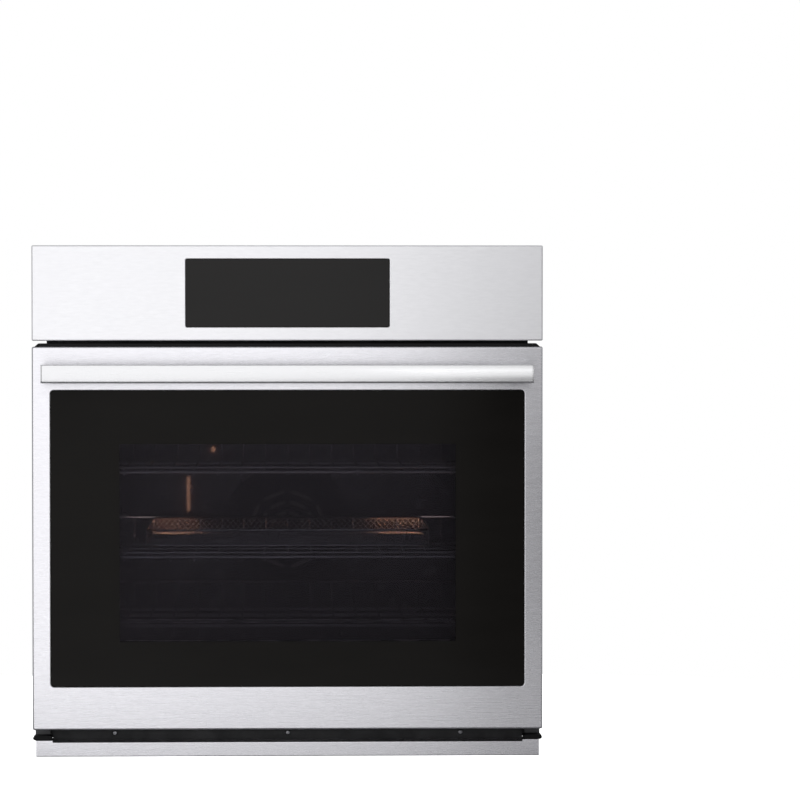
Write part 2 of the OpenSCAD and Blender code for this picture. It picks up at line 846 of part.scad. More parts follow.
module rack_middle() {
  color("#d5d7d9") wire_deck(rack_z(2), rack_half);
}

module middle_fence() {
  wire_fence(rack_z(2), rack_half);
}

module glide_rails() {
  z = rack_z(0);
  color("#aeb1b5") {
    both_sides() {
      bar_y(rack_half, z, rod_r, rack_front + 4, rack_rear - 4);
      difference() {
        block([rail_x, rack_front + 8, rail_z], [rail_x + 12, rack_rear - 8, rail_z + 16]);
        block([rail_x - 1, rack_front + 7, rail_z + 3], [rail_x + 9, rack_rear - 10, rail_z + 13]);
      }
    }
    for (y = [rack_front + 12, rack_rear - 12]) bar_x(y, z, rod_r - 0.1, -rack_half, rack_half);
  }
}

module glide_deck() {
  color("#d5d7d9") {
    wire_deck(glide_z, glide_half);
    both_sides() {
      block([glide_half - 2, rack_front + 9, rail_z + 3.4], [rail_x + 8.6, rack_rear - 12, rail_z + 12.6]);
      block([glide_half - 1.5, rack_front + 9, rail_z + 10], [glide_half + 1.5, rack_rear - 12, glide_z]);
    }
  }
}

module glide_fence() {
  wire_fence(glide_z, glide_half);
}

// A shallow tray on two runners
module fry_basket() {
  z = rack_z(2) + wire_lift + wire_r + rest_gap;
  yc = rack_front + 27 + basket_d / 2;
  color("#b9bcc0") translate([0, yc, z]) {
    translate([0, 0, basket_foot]) difference() {
      linear_extrude(basket_h) round_plate(basket_w, basket_d, 8);
      translate([0, 0, 1.6]) linear_extrude(basket_h) round_plate(basket_w - 3.2, basket_d - 3.2, 6.4);
    }
    both_sides() block([147, 10 - basket_d / 2, 0], [153, basket_d / 2 - 10, basket_foot + 0.8]);
  }
}

cavity_liner();
front_frame();
side_flanges();
side_panels();
top_panel();
rear_panel();
rear_cover();
base_panel();
insulation();
control_panel();
panel_returns();
display_glass();
touch_board();
board_housing();
component_shelf();
relay_board();
conduit_gland();
air_duct();
blower_motor();
latch_unit();
bottom_trim();
base_front();
corner_bumpers();
corner_brackets();
door_gasket();
broil_element();
bake_element();
convection_element();
fan_cover();
convection_motor();
lamp_housings();
lamp_bulbs();
lamp_lenses();
temperature_probe();
hinge_receivers();
hinge_arms();
panel_screws();
glide_rails();
door_skin();
outer_glass();
middle_glasses();
inner_glass();
pane_carrier();
door_liner();
door_frame();
door_top_trim();
handle_bar();
handle_posts();
hinge_channels();
hinge_springs();
rack_top();
top_fence();
rack_middle();
middle_fence();
glide_deck();
glide_fence();
fry_basket();
convection_fan();
blower_wheel();
latch_hook();
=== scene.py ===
"""Built-in wall oven: the visual model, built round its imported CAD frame. Metres, front faces -Y."""

import math
import random

import bmesh
import bpy
from mathutils import Matrix, Vector


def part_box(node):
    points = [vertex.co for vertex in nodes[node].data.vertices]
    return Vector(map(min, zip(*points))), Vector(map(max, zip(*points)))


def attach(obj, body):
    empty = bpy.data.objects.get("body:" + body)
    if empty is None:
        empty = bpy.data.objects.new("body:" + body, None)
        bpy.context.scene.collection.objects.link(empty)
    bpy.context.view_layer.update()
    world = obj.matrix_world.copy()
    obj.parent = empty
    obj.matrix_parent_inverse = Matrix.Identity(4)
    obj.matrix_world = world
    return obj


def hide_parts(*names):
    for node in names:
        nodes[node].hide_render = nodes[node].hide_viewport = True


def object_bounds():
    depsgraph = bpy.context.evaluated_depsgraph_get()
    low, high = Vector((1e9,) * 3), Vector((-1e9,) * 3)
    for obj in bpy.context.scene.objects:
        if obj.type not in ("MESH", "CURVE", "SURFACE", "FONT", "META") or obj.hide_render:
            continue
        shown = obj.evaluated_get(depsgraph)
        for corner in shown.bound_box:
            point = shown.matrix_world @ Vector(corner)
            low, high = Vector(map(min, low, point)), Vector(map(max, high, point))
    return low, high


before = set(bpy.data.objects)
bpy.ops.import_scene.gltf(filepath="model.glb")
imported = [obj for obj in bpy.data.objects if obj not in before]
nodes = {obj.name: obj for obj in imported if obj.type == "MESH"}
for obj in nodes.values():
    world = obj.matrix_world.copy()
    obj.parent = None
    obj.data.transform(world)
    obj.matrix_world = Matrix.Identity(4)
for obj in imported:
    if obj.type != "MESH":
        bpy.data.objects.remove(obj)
cad_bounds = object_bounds()
MM = 0.001
random.seed(7)


# ---- Places taken from the frame ----


def span(node):
    """Lowest and highest corner of a CAD node, as two vectors."""
    lo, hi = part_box(node)
    return Vector(lo), Vector(hi)


panel_lo, panel_hi = span("control_panel")
returns_hi = span("panel_returns")[1]
display_lo, display_hi = span("display_glass")
door_lo, door_hi = span("door_skin")
glass_lo, glass_hi = span("outer_glass")
inner_lo, inner_hi = span("inner_glass")
bar_lo, bar_hi = span("handle_bar")
trim_lo, trim_hi = span("bottom_trim")
cavity_hi = span("cavity_liner")[1]
frame_lo, frame_hi = span("front_frame")
basket_lo, basket_hi = span("fry_basket")
gasket_lo, gasket_hi = span("door_gasket")
side_lo, side_hi = span("side_panels")
rear_hi = span("rear_panel")[1]

front_y = door_lo.y
face_y = frame_lo.y
window_size = (0.498, 0.293)
window_centre = (inner_lo.z + inner_hi.z) / 2


# ---- Materials ----


class Finish:
    """A material whose Principled shader is fed by procedural nodes in object space, in metres."""

    def __init__(self, name, color, roughness, metallic=0.0, **sockets):
        self.material = bpy.data.materials.new(name)
        self.material.use_nodes = True
        self.tree = self.material.node_tree
        self.shader = self.tree.nodes["Principled BSDF"]
        self.color = color
        self.set("Base Color", (*color, 1.0))
        self.set("Roughness", roughness)
        self.set("Metallic", metallic)
        for socket, value in sockets.items():
            self.set(socket.replace("_", " "), value)

    def set(self, socket, value):
        self.shader.inputs[socket].default_value = value

    def add(self, kind, **values):
        node = self.tree.nodes.new(kind)
        for key, value in values.items():
            if hasattr(node, key):
                setattr(node, key, value)
            else:
                node.inputs[key.replace("_", " ")].default_value = value
        return node

    def link(self, output, target):
        self.tree.links.new(output, target)

    def space(self, scale=(1, 1, 1), turn=(0, 0, 0)):
        """Object coordinates, scaled per axis."""
        coords = self.add("ShaderNodeTexCoord")
        mapping = self.add("ShaderNodeMapping")
        mapping.inputs["Scale"].default_value = scale
        mapping.inputs["Rotation"].default_value = turn
        self.link(coords.outputs["Object"], mapping.inputs["Vector"])
        return mapping.outputs["Vector"]

    def noise(self, vector, scale, detail=3.0, rough=0.55):
        node = self.add("ShaderNodeTexNoise", Scale=scale, Detail=detail, Roughness=rough)
        self.link(vector, node.inputs["Vector"])
        return node.outputs["Fac"]

    def cells(self, vector, scale, output="Color", feature="F1"):
        node = self.add("ShaderNodeTexVoronoi", feature=feature, Scale=scale)
        self.link(vector, node.inputs["Vector"])
        return node.outputs[output]

    def remap(self, value, low, high, to_low, to_high):
        node = self.add("ShaderNodeMapRange", clamp=True)
        for socket, number in zip(("From Min", "From Max", "To Min", "To Max"), (low, high, to_low, to_high)):
            node.inputs[socket].default_value = number
        self.link(value, node.inputs["Value"])
        return node.outputs["Result"]

    def math(self, operation, first, second):
        node = self.add("ShaderNodeMath", operation=operation)
        self.link(first, node.inputs[0])
        if isinstance(second, float):
            node.inputs[1].default_value = second
        else:
            self.link(second, node.inputs[1])
        return node.outputs[0]

    def blend(self, factor, first, second):
        """A colour between two colours, or between a colour and another node's colour."""
        node = self.add("ShaderNodeMix", data_type="RGBA")
        self.link(factor, node.inputs["Factor"])
        for socket, value in ((6, first), (7, second)):
            if isinstance(value, tuple):
                node.inputs[socket].default_value = (*value, 1.0)
            else:
                self.link(value, node.inputs[socket])
        return node.outputs[2]

    def paint(self, output):
        self.link(output, self.shader.inputs["Base Color"])
        return self

    def shine(self, output):
        self.link(output, self.shader.inputs["Roughness"])
        return self

    def relief(self, height, strength, distance):
        """Bump from one or more heights: each call adds to the one before."""
        node = self.add("ShaderNodeBump", Strength=strength, Distance=distance)
        self.link(height, node.inputs["Height"])
        normal = self.shader.inputs["Normal"]
        if normal.links:
            self.link(normal.links[0].from_socket, node.inputs["Normal"])
        self.link(node.outputs["Normal"], normal)
        return self

    def wear(self, under, amount=0.5, spread=0.12):
        """The colour at worn convex edges goes towards the colour under the finish."""
        pointed = self.add("ShaderNodeNewGeometry").outputs["Pointiness"]
        edge = self.remap(pointed, 0.5 + spread * 0.15, 0.5 + spread, 0.0, amount)
        patchy = self.math("MULTIPLY", edge, self.noise(self.space(), 60.0, 5.0))
        current = self.shader.inputs["Base Color"]
        source = current.links[0].from_socket if current.links else self.color
        return self.paint(self.blend(patchy, source, under))


def tinted(color, factor):
    return tuple(min(1.0, channel * factor) for channel in color)


def brushed(name, color, roughness, metallic=1.0, streaks=0.05, mottle=0.075, bump=0.05):
    """Brushed stainless steel with its grain along X: fine lines under short, soft streaks."""
    finish = Finish(name, color, roughness, metallic, Anisotropic=0.55, Anisotropic_Rotation=0.25)
    around = finish.add("ShaderNodeTangent", direction_type="RADIAL", axis="Z")
    finish.link(around.outputs["Tangent"], finish.shader.inputs["Tangent"])
    fine = finish.noise(finish.space((30.0, 900.0, 900.0)), 1.0, 4.0, 0.6)
    short = finish.noise(finish.space((62.0, 330.0, 330.0)), 1.0, 3.0, 0.6)
    cloudy = finish.noise(finish.space(), 9.0, 4.0)
    grainy = finish.blend(fine, tinted(color, 1 - streaks), tinted(color, 1 + streaks * 0.6))
    patches = finish.remap(short, 0.25, 0.75, 0.0, 1.0)
    broad = finish.blend(patches, tinted(color, 1 - mottle), tinted(color, 1 + mottle))
    finish.paint(finish.blend(finish.remap(cloudy, 0.3, 0.7, 0.35, 0.8), grainy, broad))
    finish.shine(finish.remap(fine, 0.3, 0.7, roughness - 0.02, roughness + 0.03))
    return finish.relief(fine, bump, 0.0001)


def enamel(name, color, speck, amount=0.5, shine=0.22):
    """Glossy vitreous enamel with fine pale specks and a faint orange-peel surface."""
    finish = Finish(name, color, shine, Coat_Weight=0.25 if shine < 0.4 else 0.05, Coat_Roughness=0.12)
    spots = finish.cells(finish.space(), 420.0, "Distance")
    pick = finish.noise(finish.space(), 130.0, 2.0)
    small = finish.remap(spots, 0.16, 0.10, 0.0, amount)
    speckled = finish.math("MULTIPLY", small, finish.remap(pick, 0.5, 0.62, 0.0, 1.0))
    cloudy = finish.blend(finish.noise(finish.space(), 14.0), tinted(color, 0.8), tinted(color, 1.2))
    finish.paint(finish.blend(speckled, cloudy, speck))
    finish.shine(finish.remap(finish.noise(finish.space(), 40.0), 0.3, 0.7, shine - 0.06, shine + 0.08))
    return finish.relief(finish.noise(finish.space(), 260.0, 2.0), 0.06, 0.0004)


def satin_black(name, color=(0.006, 0.006, 0.0062), roughness=0.42):
    """Satin black paint on sheet steel, worn to metal at its edges."""
    finish = Finish(name, color, roughness, IOR=1.3)
    peel = finish.noise(finish.space(), 700.0, 2.0)
    dust = finish.noise(finish.space(), 22.0, 5.0)
    finish.paint(finish.blend(dust, tinted(color, 0.75), tinted(color, 1.7)))
    finish.shine(finish.remap(dust, 0.3, 0.7, roughness - 0.06, roughness + 0.10))
    finish.relief(peel, 0.12, 0.0002)
    return finish.wear((0.16, 0.16, 0.17), 0.35)


def galvanised(name, color=(0.56, 0.58, 0.60)):
    """Zinc-coated sheet with frosty spangles."""
    finish = Finish(name, color, 0.42, 0.6)
    cell = finish.cells(finish.space(), 150.0, "Color")
    split = finish.add("ShaderNodeSeparateColor")
    finish.link(cell, split.inputs["Color"])
    frost = finish.noise(finish.space((1.0, 1.0, 1.0)), 900.0, 2.0)
    finish.paint(finish.blend(split.outputs["Red"], tinted(color, 0.90), tinted(color, 1.10)))
    finish.shine(finish.remap(split.outputs["Green"], 0.0, 1.0, 0.38, 0.50))
    finish.relief(split.outputs["Blue"], 0.03, 0.0002)
    finish.relief(frost, 0.05, 0.0002)
    return finish


def plated(name, color=(0.62, 0.63, 0.64), roughness=0.28):
    """Bright zinc-plated or nickel-plated steel with handling marks."""
    finish = Finish(name, color, roughness, 1.0)
    marks = finish.noise(finish.space((40.0, 260.0, 260.0)), 1.0, 5.0)
    stain = finish.noise(finish.space(), 35.0, 4.0)
    finish.paint(finish.blend(stain, tinted(color, 0.82), tinted(color, 1.1)))
    finish.shine(finish.remap(marks, 0.3, 0.7, roughness - 0.08, roughness + 0.10))
    return finish.relief(marks, 0.08, 0.0002)


def chrome(name, color=(0.78, 0.78, 0.80)):
    """Plated wire, slightly heat-stained and scratched."""
    finish = Finish(name, color, 0.14, 1.0)
    stain = finish.noise(finish.space(), 28.0, 4.0)
    finish.paint(finish.blend(stain, tinted(color, 0.82), color))
    finish.shine(finish.remap(finish.noise(finish.space(), 320.0), 0.3, 0.7, 0.08, 0.24))
    return finish.relief(finish.noise(finish.space(), 500.0), 0.04, 0.0002)


def heated(name, color=(0.075, 0.062, 0.055)):
    """The dark oxide of a heating element's sheath, with browner bands."""
    finish = Finish(name, color, 0.5, 0.55)
    bands = finish.noise(finish.space((18.0, 18.0, 18.0)), 1.0, 4.0)
    finish.paint(finish.blend(bands, (0.035, 0.033, 0.034), (0.17, 0.115, 0.085)))
    finish.shine(finish.remap(bands, 0.3, 0.7, 0.38, 0.62))
    return finish.relief(finish.noise(finish.space(), 900.0), 0.15, 0.0002)


def moulded(name, color, roughness=0.45, ior=1.45):
    """Moulded plastic with a fine spark-eroded texture."""
    finish = Finish(name, color, roughness, IOR=ior)
    grain = finish.noise(finish.space(), 1500.0, 2.0)
    tone = finish.noise(finish.space(), 12.0)
    finish.paint(finish.blend(tone, tinted(color, 0.88), tinted(color, 1.12)))
    finish.shine(finish.remap(grain, 0.3, 0.7, roughness - 0.05, roughness + 0.08))
    return finish.relief(grain, 0.18, 0.00015)


def wool(name, color=(0.62, 0.52, 0.27)):
    """Matted mineral fibre."""
    finish = Finish(name, color, 0.95)
    strands = finish.noise(finish.space((30.0, 400.0, 60.0)), 1.0, 6.0, 0.7)
    finish.paint(finish.blend(strands, tinted(color, 0.6), tinted(color, 1.3)))
    return finish.relief(strands, 0.8, 0.003)


def braid(name, color=(0.16, 0.16, 0.17)):
    """Braided glass-fibre rope: two sets of slanting strands."""
    finish = Finish(name, color, 0.8)
    heights = []
    for turn in (0.7, -0.7):
        wave = finish.add("ShaderNodeTexWave", Scale=110.0, Distortion=0.6)
        finish.link(finish.space((1, 1, 1), (0, turn, 0)), wave.inputs["Vector"])
        heights.append(wave.outputs["Fac"])
    weave = finish.math("MAXIMUM", heights[0], heights[1])
    finish.paint(finish.blend(weave, tinted(color, 0.45), tinted(color, 1.5)))
    return finish.relief(weave, 0.7, 0.0012)


def board(name):
    """A green circuit board with copper tracks under its mask."""
    finish = Finish(name, (0.015, 0.12, 0.06), 0.35)
    tracks = finish.add("ShaderNodeTexBrick", Scale=60.0, Mortar_Size=0.06)
    finish.link(finish.space((1, 1, 1), (math.pi / 2, 0, 0)), tracks.inputs["Vector"])
    finish.paint(finish.blend(tracks.outputs["Fac"], (0.012, 0.10, 0.05), (0.05, 0.24, 0.11)))
    return finish.relief(tracks.outputs["Fac"], 0.2, 0.0002)


def pane(name, tint, ior, gloss=0.03, coating=(1.0, 1.0, 1.0)):
    """Thin sheet glass: what is behind it shows unbent, under a mirror image that grows at an angle."""
    finish = Finish(name, tint, 0.02)
    nodes_, links = finish.tree.nodes, finish.tree.links
    nodes_.remove(finish.shader)
    clear = finish.add("ShaderNodeBsdfTransparent")
    smudge = finish.noise(finish.space(), 16.0, 5.0)
    tone = finish.blend(smudge, tinted(tint, 0.97), tint)
    links.new(tone, clear.inputs["Color"])
    mirror = finish.add("ShaderNodeBsdfGlossy")
    mirror.inputs["Color"].default_value = (*coating, 1.0)
    rough = finish.remap(smudge, 0.3, 0.7, gloss, gloss + 0.02)
    links.new(rough, mirror.inputs["Roughness"])
    fresnel = finish.add("ShaderNodeFresnel", IOR=ior)
    front = finish.add("ShaderNodeMixShader")
    links.new(fresnel.outputs["Fac"], front.inputs["Fac"])
    links.new(clear.outputs["BSDF"], front.inputs[1])
    links.new(mirror.outputs["BSDF"], front.inputs[2])
    links.new(front.outputs["Shader"], nodes_["Material Output"].inputs["Surface"])
    return finish


def printed_glass(name, color=(0.0078, 0.0070, 0.0062), ior=1.155):
    """Black ceramic print behind clear glass: deep, glossy, with faint cleaning marks."""
    finish = Finish(name, color, 0.08, IOR=ior)
    wipe = finish.noise(finish.space((6.0, 6.0, 22.0)), 1.0, 5.0)
    finish.paint(finish.blend(wipe, tinted(color, 0.85), tinted(color, 1.25)))
    return finish.shine(finish.remap(wipe, 0.3, 0.7, 0.06, 0.14))


def glowing(name, color, strength):
    """A lamp's frosted bulb, dimly lit."""
    finish = Finish(name, (0.9, 0.85, 0.75), 0.4)
    finish.set("Emission Color", (*color, 1.0))
    finish.set("Emission Strength", strength)
    frost = finish.noise(finish.space(), 600.0)
    finish.paint(finish.blend(frost, (0.8, 0.74, 0.62), (0.95, 0.9, 0.8)))
    return finish.relief(frost, 0.2, 0.0002)


STAINLESS = brushed("panel_stainless", (0.885, 0.883, 0.90), 0.42, 0.9, mottle=0.05)
DOOR_STEEL = brushed("door_stainless", (0.745, 0.738, 0.768), 0.26, bump=0.03)
HANDLE = brushed("handle_satin", (0.73, 0.73, 0.738), 0.25, 0.88, streaks=0.02, mottle=0.012, bump=0.01)
ALLOY = plated("cast_alloy", (0.50, 0.51, 0.52), 0.42)
PLATED = plated("zinc_plate")
SCREW = plated("screw_steel", (0.76, 0.76, 0.77), 0.2)
DARK_SCREW = plated("dark_screw", (0.20, 0.20, 0.21), 0.24)
GALVANISED = galvanised("galvanised_sheet")
COVER = galvanised("galvanised_cover", (0.50, 0.52, 0.535))
ENAMEL = enamel("cavity_enamel", (0.016, 0.016, 0.023), (0.30, 0.32, 0.40))
COVER_ENAMEL = enamel("fan_cover_enamel", (0.014, 0.014, 0.020), (0.24, 0.26, 0.32), shine=0.5)
COVER_ENAMEL.set("IOR", 1.2)
LINER = enamel("door_enamel", (0.011, 0.011, 0.013), (0.10, 0.10, 0.12), 0.25)
BLACK = satin_black("satin_black")
FRAME_GREY = satin_black("frame_grey", (0.045, 0.046, 0.048), 0.42)
BRACKET_GREY = satin_black("bracket_grey", (0.085, 0.086, 0.088), 0.5)
PLASTIC = moulded("black_plastic", (0.005, 0.005, 0.0055), 0.5, 1.25)
WHEEL = moulded("wheel_plastic", (0.035, 0.037, 0.04))
HOUSING = moulded("housing_plastic", (0.72, 0.71, 0.67))
CHROME = chrome("chrome_wire", (0.46, 0.46, 0.48))
# A darker copy of the chrome wire for the gliding rack: painted shade for the low, dark part of the cavity.
SHADED_CHROME = chrome("shaded_chrome_wire", (0.20, 0.20, 0.21))
FAN = plated("fan_steel", (0.15, 0.145, 0.14), 0.5)
MESH = plated("basket_steel", (0.66, 0.66, 0.67), 0.3)
HEATER = heated("heater_sheath")
WOOL = wool("mineral_wool")
BRAID = braid("gasket_braid")
BOARD = board("circuit_board")
PRINT = printed_glass("black_print")
SCREEN = printed_glass("display_black", (0.0078, 0.0071, 0.0066), 1.28)
WINDOW = pane("window_glass", (0.60, 0.58, 0.61), 1.18, coating=(0.95, 0.88, 1.0))
PANE = pane("clear_pane", (0.965, 0.97, 0.97), 1.08)
LENS = pane("lamp_lens_glass", (0.93, 0.94, 0.95), 1.45, 0.12)
BULB = glowing("bulb_glass", (1.0, 0.62, 0.32), 2.0)

CAD_FINISH = {
    GALVANISED: ("top_panel", "rear_panel", "base_panel", "component_shelf", "air_duct"),
    COVER: ("rear_cover",),
    ENAMEL: ("cavity_liner",),
    LINER: ("door_liner",),
    COVER_ENAMEL: ("fan_cover",),
    BLACK: ("front_frame", "side_flanges", "base_front"),
    FRAME_GREY: ("door_frame",),
    BRACKET_GREY: ("corner_brackets",),
    PLASTIC: ("corner_bumpers", "door_top_trim"),
    WHEEL: ("blower_wheel",),
    HOUSING: ("board_housing",),
    ALLOY: ("convection_motor", "blower_motor", "conduit_gland"),
    PLATED: (
        "latch_unit", "latch_hook", "lamp_housings", "temperature_probe", "hinge_receivers", "hinge_arms",
        "glide_rails", "pane_carrier", "hinge_channels", "hinge_springs",
    ),
    FAN: ("convection_fan",),
    HEATER: ("broil_element", "bake_element", "convection_element"),
    WOOL: ("insulation",),
    BOARD: ("relay_board", "touch_board"),
    PANE: ("middle_glasses", "inner_glass"),
    LENS: ("lamp_lenses",),
    BULB: ("lamp_bulbs",),
}


def dress_cad():
    """Gives every carried-over CAD node its finish."""
    for finish, names in CAD_FINISH.items():
        for name in names:
            slots = nodes[name].data.materials
            slots.clear()
            slots.append(finish.material)


# ---- Mesh building ----


def new_piece(name, bm, finishes, body, slot, *replaced, smooth=math.radians(32)):
    """Turns a bmesh into a named piece that rides on a body."""
    bmesh.ops.remove_doubles(bm, verts=bm.verts, dist=1e-6)
    bmesh.ops.recalc_face_normals(bm, faces=bm.faces)
    mesh = bpy.data.meshes.new(name)
    bm.to_mesh(mesh)
    bm.free()
    for finish in finishes:
        mesh.materials.append(finish.material)
    piece = bpy.data.objects.new(name, mesh)
    bpy.context.scene.collection.objects.link(piece)
    mesh.shade_smooth()
    mesh.set_sharp_from_angle(angle=smooth)
    weighted = piece.modifiers.new("weighted normals", "WEIGHTED_NORMAL")
    weighted.keep_sharp = True
    weighted.weight = 100
    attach(piece, body)
    if replaced:
        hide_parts(*replaced)
    return piece


def loft(bm, loops, closed=True, wrap=False, material=0):
    """Joins rings of points with quads. wrap also joins the last ring to the first."""
    rings = [[bm.verts.new(point) for point in loop] for loop in loops]
    pairs = list(zip(rings, rings[1:]))
    if wrap:
        pairs.append((rings[-1], rings[0]))
    for first, second in pairs:
        count = len(first)
        for i in range(count if closed else count - 1):
            j = (i + 1) % count
            face = bm.faces.new((first[i], first[j], second[j], second[i]))
            face.material_index = material
    return rings


def cap(bm, ring, material=0):
    bm.faces.new(ring).material_index = material


def rounded(width, height, radius, steps=6):
    """Corner points of a rectangle with round corners, about the origin."""
    points = []
    for corner, (sx, sz) in enumerate(((1, 1), (-1, 1), (-1, -1), (1, -1))):
        for i in range(steps + 1):
            angle = math.radians(90 * corner + 90 * i / steps)
            points.append((
                sx * (width / 2 - radius) + radius * math.cos(angle),
                sz * (height / 2 - radius) + radius * math.sin(angle),
            ))
    return points


def upright(points, y, centre=(0.0, 0.0)):
    """Points of an X-Z outline at depth y, or at a depth that depends on the point."""
    depth = y if callable(y) else (lambda x, z: y)
    return [Vector((x + centre[0], depth(x, z), z + centre[1])) for x, z in points]


def box(bm, lo, hi, edge=0.0, material=0):
    """A box whose edges are cut by a small chamfer."""
    lo, hi = Vector(lo), Vector(hi)
    made = bmesh.ops.create_cube(bm, size=1.0)
    size = hi - lo
    bmesh.ops.scale(bm, vec=size, verts=made["verts"])
    bmesh.ops.translate(bm, vec=(lo + hi) / 2, verts=made["verts"])
    faces = {f for v in made["verts"] for f in v.link_faces}
    for face in faces:
        face.material_index = material
    if edge:
        edges = {e for f in faces for e in f.edges}
        bmesh.ops.bevel(bm, geom=list(edges), offset=edge, segments=2, affect="EDGES", profile=0.5)


def smooth_path(points, radius, steps=6):
    """A path through points, with each inner corner turned into an arc."""
    path = [Vector(points[0])]
    for before, corner, after in zip(points, points[1:], points[2:]):
        before, corner, after = Vector(before), Vector(corner), Vector(after)
        back, ahead = (before - corner), (after - corner)
        turn = back.angle(ahead)
        reach = min(radius / math.tan(turn / 2), back.length * 0.49, ahead.length * 0.49)
        first, last = corner + back.normalized() * reach, corner + ahead.normalized() * reach
        for i in range(steps + 1):
            t = i / steps
            path.append(first.lerp(corner, t).lerp(corner.lerp(last, t), t))
    path.append(Vector(points[-1]))
    return path


def tube(bm, path, radius, sides=10, material=0, closed=False, flat=1.0):
    """A round tube along a path, with domed ends unless it is closed."""
    path = [Vector(p) for p in path]
    count = len(path)
    normal = None
    rings = []
    for i, point in enumerate(path):
        if closed:
            ahead = path[(i + 1) % count] - path[i - 1]
        else:
            ahead = path[min(i + 1, count - 1)] - path[max(i - 1, 0)]
        ahead.normalize()
        if normal is None:
            helper = Vector((0, 0, 1)) if abs(ahead.z) < 0.9 else Vector((1, 0, 0))
            normal = ahead.cross(helper).normalized()
        normal = (normal - ahead * normal.dot(ahead)).normalized()
        across = ahead.cross(normal)
        rings.append([
            point + normal * (radius * math.cos(a)) + across * (radius * flat * math.sin(a))
            for a in (2 * math.pi * k / sides for k in range(sides))
        ])
    if closed:
        loft(bm, rings, wrap=True, material=material)
        return
    ends = []
    for ring, point, inward in ((rings[0], path[0], path[1]), (rings[-1], path[-1], path[-2])):
        out = (point - inward).normalized()
        ends.append([point + (p - point) * 0.6 + out * radius * 0.5 for p in ring])
    made = loft(bm, [ends[0], *rings, ends[1]], material=material)
    cap(bm, list(reversed(made[0])), material)
    cap(bm, made[-1], material)


# ---- Control panel and display ----


def shell(bm, outer, hole, centre, hole_centre, depth, radius, hole_radius, sheet, roll=1.1 * MM):
    """A pressed pan that faces -Y: rolled outer edge, side returns and a rolled hole."""
    w, h = outer
    a, b = hole
    y0 = front_y
    steps = 6

    def rim(inset, y):
        size = rounded(w - 2 * inset, h - 2 * inset, max(radius - inset, 0.4 * MM), steps)
        return upright(size, y, centre)

    def mouth(grow, y):
        size = rounded(a + 2 * grow, b + 2 * grow, hole_radius + grow, steps)
        return upright(size, y, hole_centre)

    loops = [mouth(0, y0 + sheet), mouth(0, y0 + roll)]
    for t in (30, 60, 90):
        angle = math.radians(t)
        loops.append(mouth(roll * (1 - math.cos(angle)), y0 + roll * (1 - math.sin(angle))))
    for t in (0, 22, 45, 68, 90):
        angle = math.radians(t)
        loops.append(rim(radius * (1 - math.sin(angle)), y0 + radius * (1 - math.cos(angle))))
    loops += [rim(0, depth), rim(sheet, depth)]
    loops += [rim(sheet, y0 + radius + sheet), rim(radius + sheet, y0 + sheet)]
    loft(bm, loops, wrap=True)


def control_panel():
    size = panel_hi - panel_lo
    hole = (display_hi.x - display_lo.x + 0.8 * MM, display_hi.z - display_lo.z + 0.8 * MM)
    zc = (panel_lo.z + panel_hi.z) / 2
    back = returns_hi.y
    bm = bmesh.new()
    shell(bm, (size.x, size.z), hole, (0, zc), (0, zc), back, 2.2 * MM, 2.4 * MM, 1.2 * MM)
    # Rear flange that closes the part which stands above the body
    top = frame_hi.z - 8 * MM
    inside = 1.3 * MM
    box(bm, (panel_lo.x + inside, back - 1.2 * MM, top), (panel_hi.x - inside, back, panel_hi.z - inside))
    return new_piece("control_fascia", bm, [STAINLESS], "oven_body", "stainless",
                     "control_panel", "panel_returns")


def display():
    """The touch display: one black pane with a ground edge."""
    size = display_hi - display_lo
    zc = (display_lo.z + display_hi.z) / 2
    bm = bmesh.new()
    loops = []
    for inset, y in ((0.0, display_hi.y), (0.0, display_lo.y + 0.7 * MM), (0.2 * MM, display_lo.y + 0.2 * MM),
                     (0.7 * MM, display_lo.y)):
        loops.append(upright(rounded(size.x - 2 * inset, size.z - 2 * inset, 2.0 * MM, 5), y, (0, zc)))
    rings = loft(bm, loops)
    cap(bm, list(reversed(rings[0])))
    cap(bm, rings[-1])
    return new_piece("display_pane", bm, [SCREEN], "oven_body", "black_glass", "display_glass")


# ---- Door ----


def door_face():
    """The stainless door pan with its hem, notched where the hinge arms pass."""
    size = door_hi - door_lo
    zc = (door_lo.z + door_hi.z) / 2
    glass_zc = (glass_lo.z + glass_hi.z) / 2
    hole = (glass_hi.x - glass_lo.x + 1.0 * MM, glass_hi.z - glass_lo.z + 1.0 * MM)
    shallow, deep = front_y + 4 * MM, front_y + 20 * MM
    side = size.x / 2 - 2.5 * MM  # just inside the end of the corner arcs, so that only the sides are deep
    bm = bmesh.new()
    shell(bm, (size.x, size.z), hole, (0, zc), (0, glass_zc),
          lambda x, z: deep if abs(x) > side else shallow, 2.6 * MM, 5.4 * MM, 1.2 * MM, 1.4 * MM)
    hem_y = door_hi.y
    notch_in, notch_out = 327 * MM, 350.5 * MM
    for lo_x, hi_x in ((-side, -notch_out), (-notch_in, notch_in), (notch_out, side)):
        box(bm, (lo_x, shallow, door_lo.z), (hi_x, hem_y, door_lo.z + 1.2 * MM), 0.3 * MM)
    return new_piece("door_face", bm, [DOOR_STEEL], "door", "stainless", "door_skin")


def door_glass():
    """The outer glass: a clear window inside a wide black printed border."""
    size = glass_hi - glass_lo
    zc = (glass_lo.z + glass_hi.z) / 2
    bm = bmesh.new()

    def edge(inset, y):
        return upright(rounded(size.x - 2 * inset, size.z - 2 * inset, 5 * MM, 6), y, (0, zc))

    def window(y):
        return upright(rounded(*window_size, 2.0 * MM, 6), y, (0, window_centre))

    front, back = glass_lo.y, glass_hi.y
    rings = loft(bm, [window(back), edge(0.4 * MM, back), edge(0, back - 0.5 * MM), edge(0, front + 1.0 * MM),
                      edge(0.3 * MM, front + 0.3 * MM), edge(1.0 * MM, front), window(front)])
    cap(bm, list(reversed(rings[0])), 1)
    cap(bm, rings[-1], 1)
    return new_piece("door_glass", bm, [PRINT, WINDOW], "door", "black_glass", "outer_glass")


